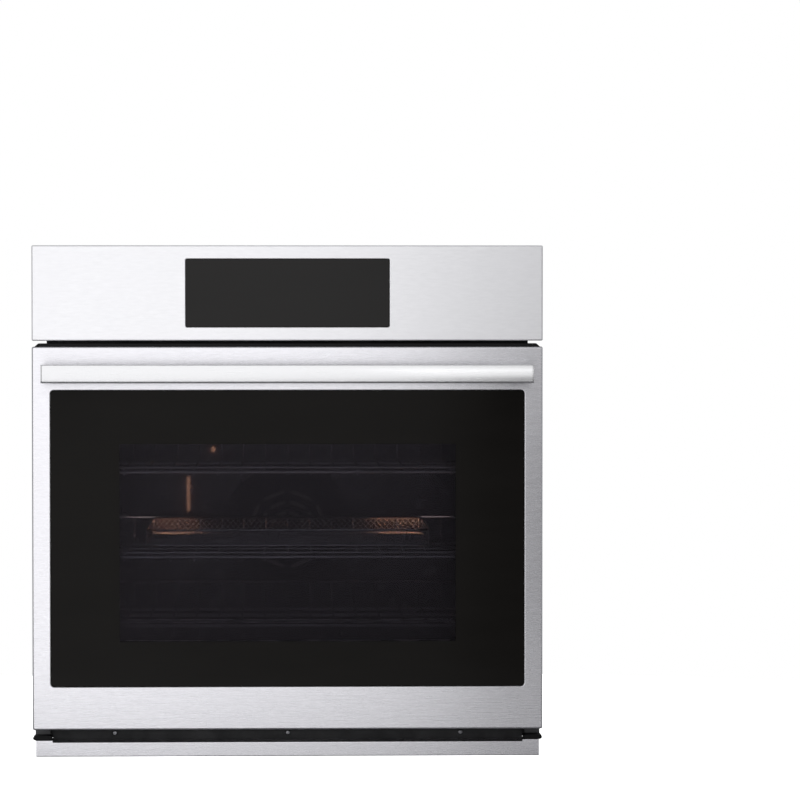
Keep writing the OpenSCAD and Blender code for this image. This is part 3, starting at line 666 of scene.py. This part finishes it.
def handle():
    """A flat bar with a crowned front, thin end caps and two short posts."""
    depth, height = bar_hi.y - bar_lo.y, bar_hi.z - bar_lo.z
    yc, zc = (bar_lo.y + bar_hi.y) / 2, (bar_lo.z + bar_hi.z) / 2
    cap_t = 1.6 * MM

    def profile(inset):
        """Y-Z outline: a crowned front, rolled edges (the lower one larger) and a rounded back."""
        half, deep = height / 2 - inset, depth / 2 - inset
        low, high = -half + 3.2 * MM, half - 1.5 * MM
        points = []
        for i in range(21):
            z = low + (high - low) * i / 20
            points.append((-deep + 1.6 * MM * abs(z / half) ** 2.4, z))
        crown = points[-1][0]
        for angle in (30, 60, 90):
            turn = math.radians(angle)
            points.append((crown + 1.4 * MM * (1 - math.cos(turn)), high + 1.5 * MM * math.sin(turn)))
        for sign in (1, -1):
            corner = [(deep - 2.5 * MM + 2.5 * MM * math.sin(math.radians(a)),
                       half - 2.5 * MM + 2.5 * MM * math.cos(math.radians(a))) for a in (0, 30, 60, 90)]
            points += [(y, sign * z) for y, z in (corner if sign > 0 else reversed(corner))]
        crown = points[0][0]
        for angle in (90, 60, 30):
            turn = math.radians(angle)
            points.append((crown + 2.8 * MM * (1 - math.cos(turn)), low - 3.2 * MM * math.sin(turn)))
        return points

    def ring(x, inset):
        return [Vector((x, yc + y, zc + z)) for y, z in profile(inset)]

    bm = bmesh.new()
    body = bar_hi.x - cap_t
    edge = 0.35 * MM
    rings = loft(bm, [ring(-body, edge), ring(-body + edge, 0), ring(body - edge, 0), ring(body, edge)])
    cap(bm, list(reversed(rings[0])))
    cap(bm, rings[-1])
    for side in (-1, 1):
        xs = [body + 0.25 * MM, body + 0.5 * MM, bar_hi.x - 0.4 * MM, bar_hi.x]
        insets = (0.5 * MM, 0.1 * MM, 0.1 * MM, 0.6 * MM)
        rings = loft(bm, [ring(side * x, inset) for x, inset in zip(xs, insets)])
        cap(bm, list(reversed(rings[0])))
        cap(bm, rings[-1])
    new_piece("handle_grip", bm, [HANDLE], "door", "handle_metal", "handle_bar")

    bm = bmesh.new()
    posts_lo, posts_hi = span("handle_posts")
    xc = (posts_hi.x + (posts_hi.x - 62 * MM)) / 2
    for side in (-1, 1):
        loops = []
        stations = ((0, 64, 19.5), (1.2, 63, 18), (3.5, 60.5, 15.5), (9, 58.5, 13.8), (24, 57.5, 13.2),
                    (33, 58.5, 14), (37.5, 60, 16), (39, 60.6, 17))
        for out, wide, tall in stations:
            loops.append(upright(rounded(wide * MM, tall * MM, min(6.0, tall / 2 - 0.6) * MM, 6),
                                 front_y - out * MM, (side * xc, zc)))
        rings = loft(bm, loops)
        cap(bm, list(reversed(rings[0])))
        cap(bm, rings[-1])
        for x in (312, 344):
            tube(bm, [(side * x * MM, front_y, zc), (side * x * MM, front_y + 11 * MM, zc)], 3 * MM, 14)
    new_piece("handle_mounts", bm, [HANDLE], "door", "handle_metal", "handle_posts")


# ---- Bottom trim ----


def bottom_trim():
    """Brushed trim with a rolled top edge, dipped between its two ends."""
    dip = 2.9 * MM
    dip_x = 349 * MM
    half = trim_hi.x
    y0, y1 = trim_lo.y, trim_hi.y
    bottom, top = trim_lo.z, trim_hi.z
    bm = bmesh.new()
    roll = 1.4 * MM

    def section(x, z_top):
        arc = [(y0 + roll * (1 - math.cos(a)), z_top - roll * (1 - math.sin(a)))
               for a in (math.radians(t) for t in (0, 30, 60, 90))]
        foot = [(y0 + roll * (1 - math.cos(a)), bottom + roll * (1 - math.sin(a)))
                for a in (math.radians(t) for t in (90, 60, 30, 0))]
        outer = [(y1, bottom)] + foot + arc + [(y1, z_top)]
        y_in = y0 + 1.5 * MM
        high, low = z_top - 1.2 * MM, bottom + 1.2 * MM
        inner = [(y1, high), (y_in, high), (y_in, low), (y1, low)]
        return [Vector((x, y, z)) for y, z in outer + inner]

    dip_in = dip_x - 0.8 * MM
    xs = [(-half, top), (-dip_x, top), (-dip_in, top - dip), (dip_in, top - dip), (dip_x, top), (half, top)]
    rings = loft(bm, [section(x, z) for x, z in xs])
    cap(bm, list(reversed(rings[0])))
    cap(bm, rings[-1])
    return new_piece("trim_strip", bm, [DOOR_STEEL], "oven_body", "stainless", "bottom_trim")


# ---- Fasteners ----

FIELD_DEPTH = 2.6 * MM


def cross_ring(size, slot, height, axes, centre):
    """24 points round a cross-shaped recess, as seen along the screw's axis."""
    u, v, n = axes
    s, w = size, slot
    quarter = [(s, 0), (s, w * 0.6), (s, w), (w * 1.4, w), (w, w), (w, w * 1.4)]
    points = []
    for turn in range(4):
        angle = math.radians(90 * turn)
        for a, b in quarter:
            cos, sin = math.cos(angle), math.sin(angle)
            points.append((a * cos - b * sin, a * sin + b * cos))
    return [centre + u * a + v * b + n * height for a, b in points]


def screw_head(bm, centre, normal, radius, height, material=0):
    """A pan head with a cross recess."""
    n = Vector(normal).normalized()
    u = n.cross(Vector((0, 0, 1)) if abs(n.z) < 0.9 else Vector((1, 0, 0))).normalized()
    v = n.cross(u)
    centre = Vector(centre)
    turn = random.random() * math.pi
    u, v = u * math.cos(turn) + v * math.sin(turn), v * math.cos(turn) - u * math.sin(turn)
    loops = []
    for r, h in ((1.0, 0.0), (1.0, 0.45), (0.94, 0.72), (0.8, 0.9), (0.66, 0.97)):
        turns = (2 * math.pi * k / 24 for k in range(24))
        rise = n * (height * h)
        loops.append([centre + u * (radius * r * math.cos(a)) + v * (radius * r * math.sin(a)) + rise
                      for a in turns])
    for size, slot, h in ((0.52, 0.13, 1.0), (0.46, 0.11, 0.35)):
        loops.append(cross_ring(radius * size, radius * slot, height * h, (u, v, n), centre))
    rings = loft(bm, loops, material=material)
    cap(bm, rings[-1], material)
    cap(bm, list(reversed(rings[0])), material)


def screws():
    """The pan head screws of the body, where the CAD model has them."""
    bm = bmesh.new()
    half = side_hi.x
    back = rear_hi.y
    height = frame_hi.z
    for side in (-1, 1):
        for y in (face_y + 30 * MM, 0.0, back - 25 * MM):
            for z in (30 * MM, height / 2, height - 25 * MM):
                pressed = FIELD_DEPTH if (y, z) == (0.0, height / 2) else 0.0
                screw_head(bm, (side * (half - pressed), y, z), (side, 0, 0), 4 * MM, 2 * MM)
    places = [(x, z) for x in (-0.33, 0.0, 0.33) for z in (0.025, height - 0.025)]
    places += [(x, z) for x in (-0.33, 0.33) for z in (0.23, 0.5)]
    for x, z in places:
        screw_head(bm, (x, back, z), (0, 1, 0), 4 * MM, 2.2 * MM)
    cover_y = span("rear_cover")[1].y
    for x in (-0.186, 0.186):
        for z in (0.125, 0.475):
            screw_head(bm, (x, cover_y, z), (0, 1, 0), 4 * MM, 2.2 * MM)
    for x in (-0.258, 0.0, 0.258):
        screw_head(bm, (x, face_y - 1.2 * MM, 6.4 * MM), (0, -1, 0), 3.6 * MM, 2.4 * MM, 1)
    return new_piece("pan_head_screws", bm, [SCREW, DARK_SCREW], "oven_body", "plated_steel", "panel_screws")


# ---- Racks and basket ----

WIRE_R, ROD_R = 1.75 * MM, 3.0 * MM
FENCE = 33 * MM


def wire_deck(bm, lo, hi, half, rod_z, long_z, stops=True):
    """Long wires that bend up into a fence at the rear, on cross rods between two side rods.

    stops adds a short wire under the front rod below each long wire, which shows its round end.
    """
    pitch = 35 * MM
    count = int((half - 8 * MM) // pitch)
    rear_y = hi.y - 2.7 * MM
    top = long_z + FENCE
    for i in range(-count, count + 1):
        x = i * pitch
        points = [(x, lo.y + 4 * MM, long_z), (x, rear_y, long_z), (x, rear_y, top)]
        tube(bm, smooth_path(points, 9 * MM), WIRE_R, 10)
        if stops:
            low = rod_z - 4.2 * MM
            tube(bm, [(x, lo.y + 1 * MM, low), (x, lo.y + 18 * MM, low)], WIRE_R, 10)
    tube(bm, [(-half, rear_y, top), (half, rear_y, top)], 2.5 * MM, 12)
    tube(bm, [(-half, lo.y + 8 * MM, long_z + 3 * MM), (half, lo.y + 8 * MM, long_z + 3 * MM)], 1.9 * MM, 12)
    for y in (lo.y + 6 * MM, -60 * MM, 50 * MM):
        tube(bm, [(-half, y, rod_z), (half, y, rod_z)], ROD_R - 0.1 * MM, 12)
    for side in (-1, 1):
        x = side * half
        points = [(x, lo.y + 1.0 * MM, rod_z), (x, rear_y, rod_z), (x, rear_y, top + 1.5 * MM)]
        tube(bm, smooth_path(points, 10 * MM), ROD_R, 12)


def racks():
    for place in ("top", "middle"):
        node, fence, body = "rack_" + place, place + "_fence", place + "_rack"
        lo, hi = span(node)
        bm = bmesh.new()
        rod_z = lo.z + ROD_R
        wire_deck(bm, lo, hi, hi.x - ROD_R, rod_z, rod_z + 3.85 * MM)
        new_piece(node + "_wires", bm, [CHROME], body, "chrome_wire", node, fence)

    lo, hi = span("glide_deck")
    rail_lo, rail_hi = span("glide_rails")
    bm = bmesh.new()
    half = 280 * MM
    rod_z = 163.2 * MM
    wire_deck(bm, lo, hi, half, rod_z, rod_z + 3.85 * MM, stops=False)
    for side in (-1, 1):
        inner = sorted((side * (half - 2 * MM), side * hi.x))
        web = sorted((side * (half - 1.5 * MM), side * (half + 1.5 * MM)))
        box(bm, (inner[0], lo.y + 9 * MM, lo.z), (inner[1], hi.y - 14.7 * MM, lo.z + 9.2 * MM), 0.8 * MM)
        box(bm, (web[0], lo.y + 9 * MM, lo.z + 6 * MM), (web[1], hi.y - 14.7 * MM, rod_z), 0.4 * MM)
    # The gliding rack's wires take the darker copy of the chrome, which is painted shade.
    new_piece("glide_deck_wires", bm, [SHADED_CHROME], "gliding_rack", "chrome_wire", "glide_deck", "glide_fence")


def basket():
    """A tray of expanded steel: diamond mesh floor and walls, wire rims and two runners."""
    p = 4.2 * MM
    floor_z = basket_lo.z + 10 * MM
    top_z = basket_hi.z
    width = basket_hi.x - basket_lo.x - 3 * MM
    depth = basket_hi.y - basket_lo.y - 3 * MM
    yc = (basket_lo.y + basket_hi.y) / 2
    radius = 20 * MM
    sheet = bmesh.new()

    def diamonds(cols, rows, place, keep):
        grid = {}

        def vertex(i, j):
            if (i, j) not in grid:
                grid[i, j] = sheet.verts.new(place(i, j))
            return grid[i, j]

        for i in range(1, cols):
            for j in range(1, rows):
                if (i + j) % 2 and keep(i, j):
                    ring = [(i - 1, j), (i, j - 1), (i + 1, j), (i, j + 1)]
                    sheet.faces.new([vertex(*key) for key in ring])

    cols, rows = int(width / p) // 2 * 2, int(depth / p) // 2 * 2

    def floor_point(i, j):
        return Vector(((i - cols / 2) * width / cols, yc + (j - rows / 2) * depth / rows, floor_z))

    def inside(i, j):
        point = floor_point(i, j)
        dx = max(abs(point.x) - (width / 2 - radius), 0)
        dy = max(abs(point.y - yc) - (depth / 2 - radius), 0)
        return math.hypot(dx, dy) < radius - 1.5 * MM

    diamonds(cols, rows, floor_point, inside)
    outline = [Vector((x, y, 0)) for x, y in rounded(width, depth, radius, 8)]
    lengths = [0.0]
    for first, second in zip(outline, outline[1:] + outline[:1]):
        lengths.append(lengths[-1] + (second - first).length)
    around = int(lengths[-1] / p) // 2 * 2
    up = max(4, int((top_z - floor_z) / p))

    def wall_point(i, j):
        reach = lengths[-1] * (i % around) / around
        k = max(n for n in range(len(outline)) if lengths[n] <= reach + 1e-9)
        share = (reach - lengths[k]) / max(lengths[k + 1] - lengths[k], 1e-9)
        spot = outline[k].lerp(outline[(k + 1) % len(outline)], share)
        return Vector((spot.x, spot.y + yc, floor_z + (top_z - floor_z - 2 * MM) * j / up))

    grid = {}
    for i in range(around):
        for j in range(1, up):
            if (i + j) % 2:
                keys = [(i - 1, j), (i, j - 1), (i + 1, j), (i, j + 1)]
                ring = []
                for key in keys:
                    key = (key[0] % around, key[1])
                    if key not in grid:
                        grid[key] = sheet.verts.new(wall_point(*key))
                    ring.append(grid[key])
                sheet.faces.new(ring)
    net = new_piece("basket_net", sheet, [MESH], "basket", "basket_mesh", "fry_basket")
    wires = net.modifiers.new("wires", "WIREFRAME")
    wires.thickness = 0.8 * MM
    wires.use_even_offset = False
    wires.use_boundary = True

    bm = bmesh.new()
    for z, r in ((top_z - 1.6 * MM, 1.6 * MM), (floor_z, 1.3 * MM)):
        path = [Vector((x, y + yc, z)) for x, y in rounded(width, depth, radius, 8)]
        tube(bm, path, r, 10, closed=True)
    for x in (-150 * MM, 150 * MM):
        y0, y1 = basket_lo.y + 5 * MM, basket_hi.y - 5 * MM
        foot = basket_lo.z + 2 * MM
        points = [(x, y0, floor_z), (x, y0 + 2 * MM, foot), (x, y1 - 2 * MM, foot), (x, y1, floor_z)]
        tube(bm, smooth_path(points, 6 * MM), 1.9 * MM, 10)
    for x in (-0.07, 0.07):
        under = floor_z - 1.4 * MM
        tube(bm, [(x, basket_lo.y + 3 * MM, under), (x, basket_hi.y - 3 * MM, under)], 1.3 * MM, 8)
    new_piece("basket_frame", bm, [CHROME], "basket", "basket_mesh")


# ---- Cavity details ----


def gasket():
    """A braided rope seal held round the cavity's mouth."""
    size = gasket_hi - gasket_lo
    zc = (gasket_lo.z + gasket_hi.z) / 2
    yc = (gasket_lo.y + gasket_hi.y) / 2
    bm = bmesh.new()
    path = upright(rounded(size.x - 8 * MM, size.z - 8 * MM, 32 * MM, 10), yc, (0, zc))
    tube(bm, path, 1.85 * MM, 12, closed=True, flat=2.16)
    new_piece("gasket_rope", bm, [BRAID], "oven_body", "gasket_braid", "door_gasket")


def side_skins():
    """Outer side sheets, each with two pressed fields that meet at the component shelf."""
    bm = bmesh.new()
    lo, hi = side_lo, side_hi
    shelf = span("component_shelf")[1].z
    for side in (-1, 1):
        x = side * hi.x
        for z0, z1 in ((lo.z, shelf), (shelf, hi.z)):
            yc, zc = (lo.y + hi.y) / 2, (z0 + z1) / 2
            w, h = hi.y - lo.y, z1 - z0

            def field(grow, radius, depth):
                outline = rounded(w + grow, h + grow, radius, 6)
                return [Vector((x - side * depth, yc + y, zc + z)) for y, z in outline]

            loops = [field(0, 0.0, 1.2 * MM), field(0, 0.0, 0)]
            loops += [field(-70 * MM, 20 * MM, 0), field(-73 * MM, 19 * MM, 0.5 * MM),
                      field(-81 * MM, 15 * MM, 2.3 * MM), field(-84 * MM, 14 * MM, FIELD_DEPTH)]
            rings = loft(bm, loops)
            cap(bm, rings[-1])
            cap(bm, list(reversed(rings[0])))
    return new_piece("side_skins", bm, [GALVANISED], "oven_body", "galvanised", "side_panels")


def louvres():
    """Pressed hoods over the slots of the rear cover."""
    bm = bmesh.new()
    cover = span("rear_cover")[1].y
    hood = ((-71, 0.0), (-68, 0.8), (-64, 1.0), (64, 1.0), (68, 0.8), (71, 0.0))
    for z in range(160, 441, 22):
        for xc in (-95, 95):
            loops = []
            for out, up in ((0.0, 4.2), (1.0, 3.9), (1.8, 2.6), (2.1, 0.6), (2.15, -1.4)):
                ring = [Vector(((xc + x) * MM, cover + out * MM * end, (z + up) * MM)) for x, end in hood]
                loops.append(ring)
            loft(bm, loops, closed=False)
    bmesh.ops.solidify(bm, geom=list(bm.faces), thickness=-0.5 * MM)
    return new_piece("rear_louvres", bm, [COVER], "oven_body", "galvanised")


# ---- Studio ----


def area_light(name, place, target, size, power, color=(1, 1, 1)):
    light = bpy.data.lights.new(name, "AREA")
    light.shape = "RECTANGLE"
    light.size, light.size_y = size
    light.energy = power
    light.color = color
    item = bpy.data.objects.new(name, light)
    item.location = place
    item.rotation_euler = (Vector(target) - Vector(place)).to_track_quat("-Z", "Y").to_euler()
    item.visible_camera = False
    bpy.context.scene.collection.objects.link(item)
    return item


def camera_only(tree, seen, unseen):
    """A shader that the camera sees one way and every other ray another way."""
    mix = tree.nodes.new("ShaderNodeMixShader")
    path = tree.nodes.new("ShaderNodeLightPath")
    tree.links.new(path.outputs["Is Camera Ray"], mix.inputs["Fac"])
    tree.links.new(unseen, mix.inputs[1])
    tree.links.new(seen, mix.inputs[2])
    return mix.outputs["Shader"]


def stage_sheet(name, corners):
    mesh = bpy.data.meshes.new(name)
    mesh.from_pydata(corners, [], [tuple(range(len(corners)))])
    sheet = bpy.data.objects.new(name, mesh)
    bpy.context.scene.collection.objects.link(sheet)
    return sheet


def light_card():
    """A large soft card in front of the oven, brightest at its upper left, which the steel mirrors."""
    y, low, high, half = front_y - 1.25, cad_bounds[0][2] - 0.14, 1.45, 1.15
    card = stage_sheet("light_card", [(-half, y, low), (half, y, low), (half, y, high), (-half, y, high)])
    card.visible_camera = False
    card.visible_shadow = False
    paper = bpy.data.materials.new("light_card")
    paper.use_nodes = True
    tree = paper.node_tree
    tree.nodes.clear()
    coords = tree.nodes.new("ShaderNodeTexCoord")
    split = tree.nodes.new("ShaderNodeSeparateXYZ")
    tree.links.new(coords.outputs["Object"], split.inputs["Vector"])

    def ramp(axis, low_at, high_at, low_is, high_is):
        node = tree.nodes.new("ShaderNodeMapRange")
        node.interpolation_type = "SMOOTHSTEP"
        limits = {"From Min": low_at, "From Max": high_at, "To Min": low_is, "To Max": high_is}
        for socket, value in limits.items():
            node.inputs[socket].default_value = value
        tree.links.new(split.outputs[axis], node.inputs["Value"])
        return node.outputs["Result"]

    def combine(operation, first, second):
        node = tree.nodes.new("ShaderNodeMath")
        node.operation = operation
        for socket, value in zip(node.inputs, (first, second)):
            if isinstance(value, float):
                socket.default_value = value
            else:
                tree.links.new(value, socket)
        return node.outputs["Value"]

    # Falls off to the right, sooner at the bottom, with a darker patch at mid height on the right
    high = ramp("Z", -0.1, 0.6, 0.0, 1.0)
    top = combine("MULTIPLY", ramp("X", 0.0, 0.55, 1.0, 0.64), high)
    foot = combine("MULTIPLY", ramp("X", -0.5, 0.5, 0.98, 0.62), combine("SUBTRACT", 1.0, high))
    patch = combine("MULTIPLY", ramp("X", 0.22, 0.42, 0.0, 0.74), ramp("Z", 0.50, 0.72, 1.0, 0.0))
    patch = combine("MULTIPLY", patch, ramp("Z", -0.25, 0.10, 0.0, 1.0))
    bright = combine("MULTIPLY", combine("ADD", top, foot), combine("SUBTRACT", 1.0, patch))
    bright = combine("MULTIPLY", bright, ramp("Z", -0.2, 0.02, 2.5, 1.36))
    glow = tree.nodes.new("ShaderNodeEmission")
    glow.inputs["Color"].default_value = (0.99, 0.99, 1.0, 1)
    tree.links.new(bright, glow.inputs["Strength"])
    output = tree.nodes.new("ShaderNodeOutputMaterial")
    tree.links.new(glow.outputs["Emission"], output.inputs["Surface"])
    card.data.materials.append(paper)


def studio():
    scene = bpy.context.scene
    scene.view_settings.view_transform = "Standard"
    scene.cycles.transparent_max_bounces = 24

    world = bpy.data.worlds.new("studio")
    world.use_nodes = True
    scene.world = world
    tree = world.node_tree
    white = tree.nodes["Background"]
    white.inputs["Color"].default_value = (1, 1, 1, 1)
    room = tree.nodes.new("ShaderNodeBackground")
    room.inputs["Color"].default_value = (0.97, 0.98, 1.0, 1)
    room.inputs["Strength"].default_value = 0.42
    surface = camera_only(tree, white.outputs["Background"], room.outputs["Background"])
    tree.links.new(surface, tree.nodes["World Output"].inputs["Surface"])

    area_light("overhead", (0.0, -0.9, 2.3), (0, -0.2, 0.3), (2.2, 1.2), 20).visible_glossy = False
    area_light("left_soft", (-2.4, -0.6, 1.2), (-0.3, 0, 0.35), (1.6, 1.6), 30).visible_glossy = False
    area_light("rear_soft", (0.6, 3.0, 2.0), (0, 0.2, 0.3), (2.4, 2.0), 60).visible_glossy = False
    light_card()
    handle_fill = area_light("handle_fill", (0.5, front_y - 1.2, 0.62), (0.3, front_y, 0.55),
                             (0.7, 0.4), 0.75)
    lit_only(handle_fill, "handle_grip")

    reach, drop = 2.6, cad_bounds[0][2] - 0.16
    floor = stage_sheet("floor", [
        (reach * math.cos(math.radians(a)), reach * math.sin(math.radians(a)), drop) for a in range(0, 360, 5)
    ])
    pale = Finish("floor_white", (0.93, 0.93, 0.93), 0.9)
    pale.set("Emission Color", (1, 1, 1, 1))
    pale.set("Emission Strength", 0.75)
    grey = pale.add("ShaderNodeBsdfDiffuse", Color=(0.14, 0.14, 0.145, 1))
    pale.link(camera_only(pale.tree, pale.shader.outputs["BSDF"], grey.outputs["BSDF"]),
              pale.tree.nodes["Material Output"].inputs["Surface"])
    floor.data.materials.append(pale.material)


def lit_only(light, *names):
    """Lets a light fall on the named objects only."""
    group = bpy.data.collections.new(light.name)
    for name in names:
        group.objects.link(bpy.data.objects[name])
    light.light_linking.receiver_collection = group


def lamps():
    """Stand-ins for the lamps' glints: small lights that each fall only on the pieces they name."""
    warm, rose = (1.0, 0.50, 0.28), (1.0, 0.80, 0.74)
    back, top, wall = basket_hi.y, basket_hi.z, cavity_hi.y - 1.5 * MM
    fence = area_light("fence_glow", (0, back + 8 * MM, top + 26 * MM), (0, back + 46 * MM, top - 10 * MM),
                       (0.52, 0.012), 0.12, rose)
    lit_only(fence, "rack_middle_wires")
    rack = span("rack_top")[0]
    edge = area_light("edge_glow", (0, rack.y - 30 * MM, rack.z - 30 * MM), (0, rack.y, rack.z),
                      (0.52, 0.01), 0.012, rose)
    lit_only(edge, "rack_top_wires")
    glide = span("glide_deck")[0]
    for side in (-1, 1):
        near = area_light("basket_glow", (side * 0.185, back - 34 * MM, top + 4 * MM),
                          (side * 0.185, back, top - 14 * MM), (0.09, 0.02), 0.11, warm)
        lit_only(near, "basket_net")
        low = area_light("rail_glow", (side * 0.29, glide.y - 20 * MM, glide.z + 60 * MM),
                         (side * 0.29, glide.y + 10 * MM, glide.z), (0.05, 0.02), 0.02, rose)
        lit_only(low, "glide_deck_wires", "glide_rails")
    for x, z, size, power in ((-0.160, 0.338, (0.005, 0.055), 0.010), (-0.120, 0.410, (0.006, 0.008), 0.0025),
                              (-0.019, 0.232, (0.010, 0.022), 0.005), (0.019, 0.244, (0.008, 0.006), 0.0015)):
        image = area_light("lamp_image", (x, wall - 16 * MM, z), (x, wall, z), size, power, warm)
        lit_only(image, "cavity_liner", "fan_cover")


def camera():
    """On the oven's centre line, near the top of its face, turned so that the oven sits low and left."""
    view = bpy.data.cameras.new("camera")
    view.sensor_width = 36.0
    view.lens = 179.4
    item = bpy.data.objects.new("camera", view)
    item.location = (0.0, front_y - 5.9, 0.675)
    target = Vector((0.1663, front_y, 0.5045))
    item.rotation_euler = (target - item.location).to_track_quat("-Z", "Y").to_euler()
    bpy.context.scene.collection.objects.link(item)
    bpy.context.scene.camera = item


dress_cad()
control_panel()
display()
door_face()
door_glass()
handle()
bottom_trim()
screws()
racks()
basket()
gasket()
side_skins()
louvres()
studio()
lamps()
camera()
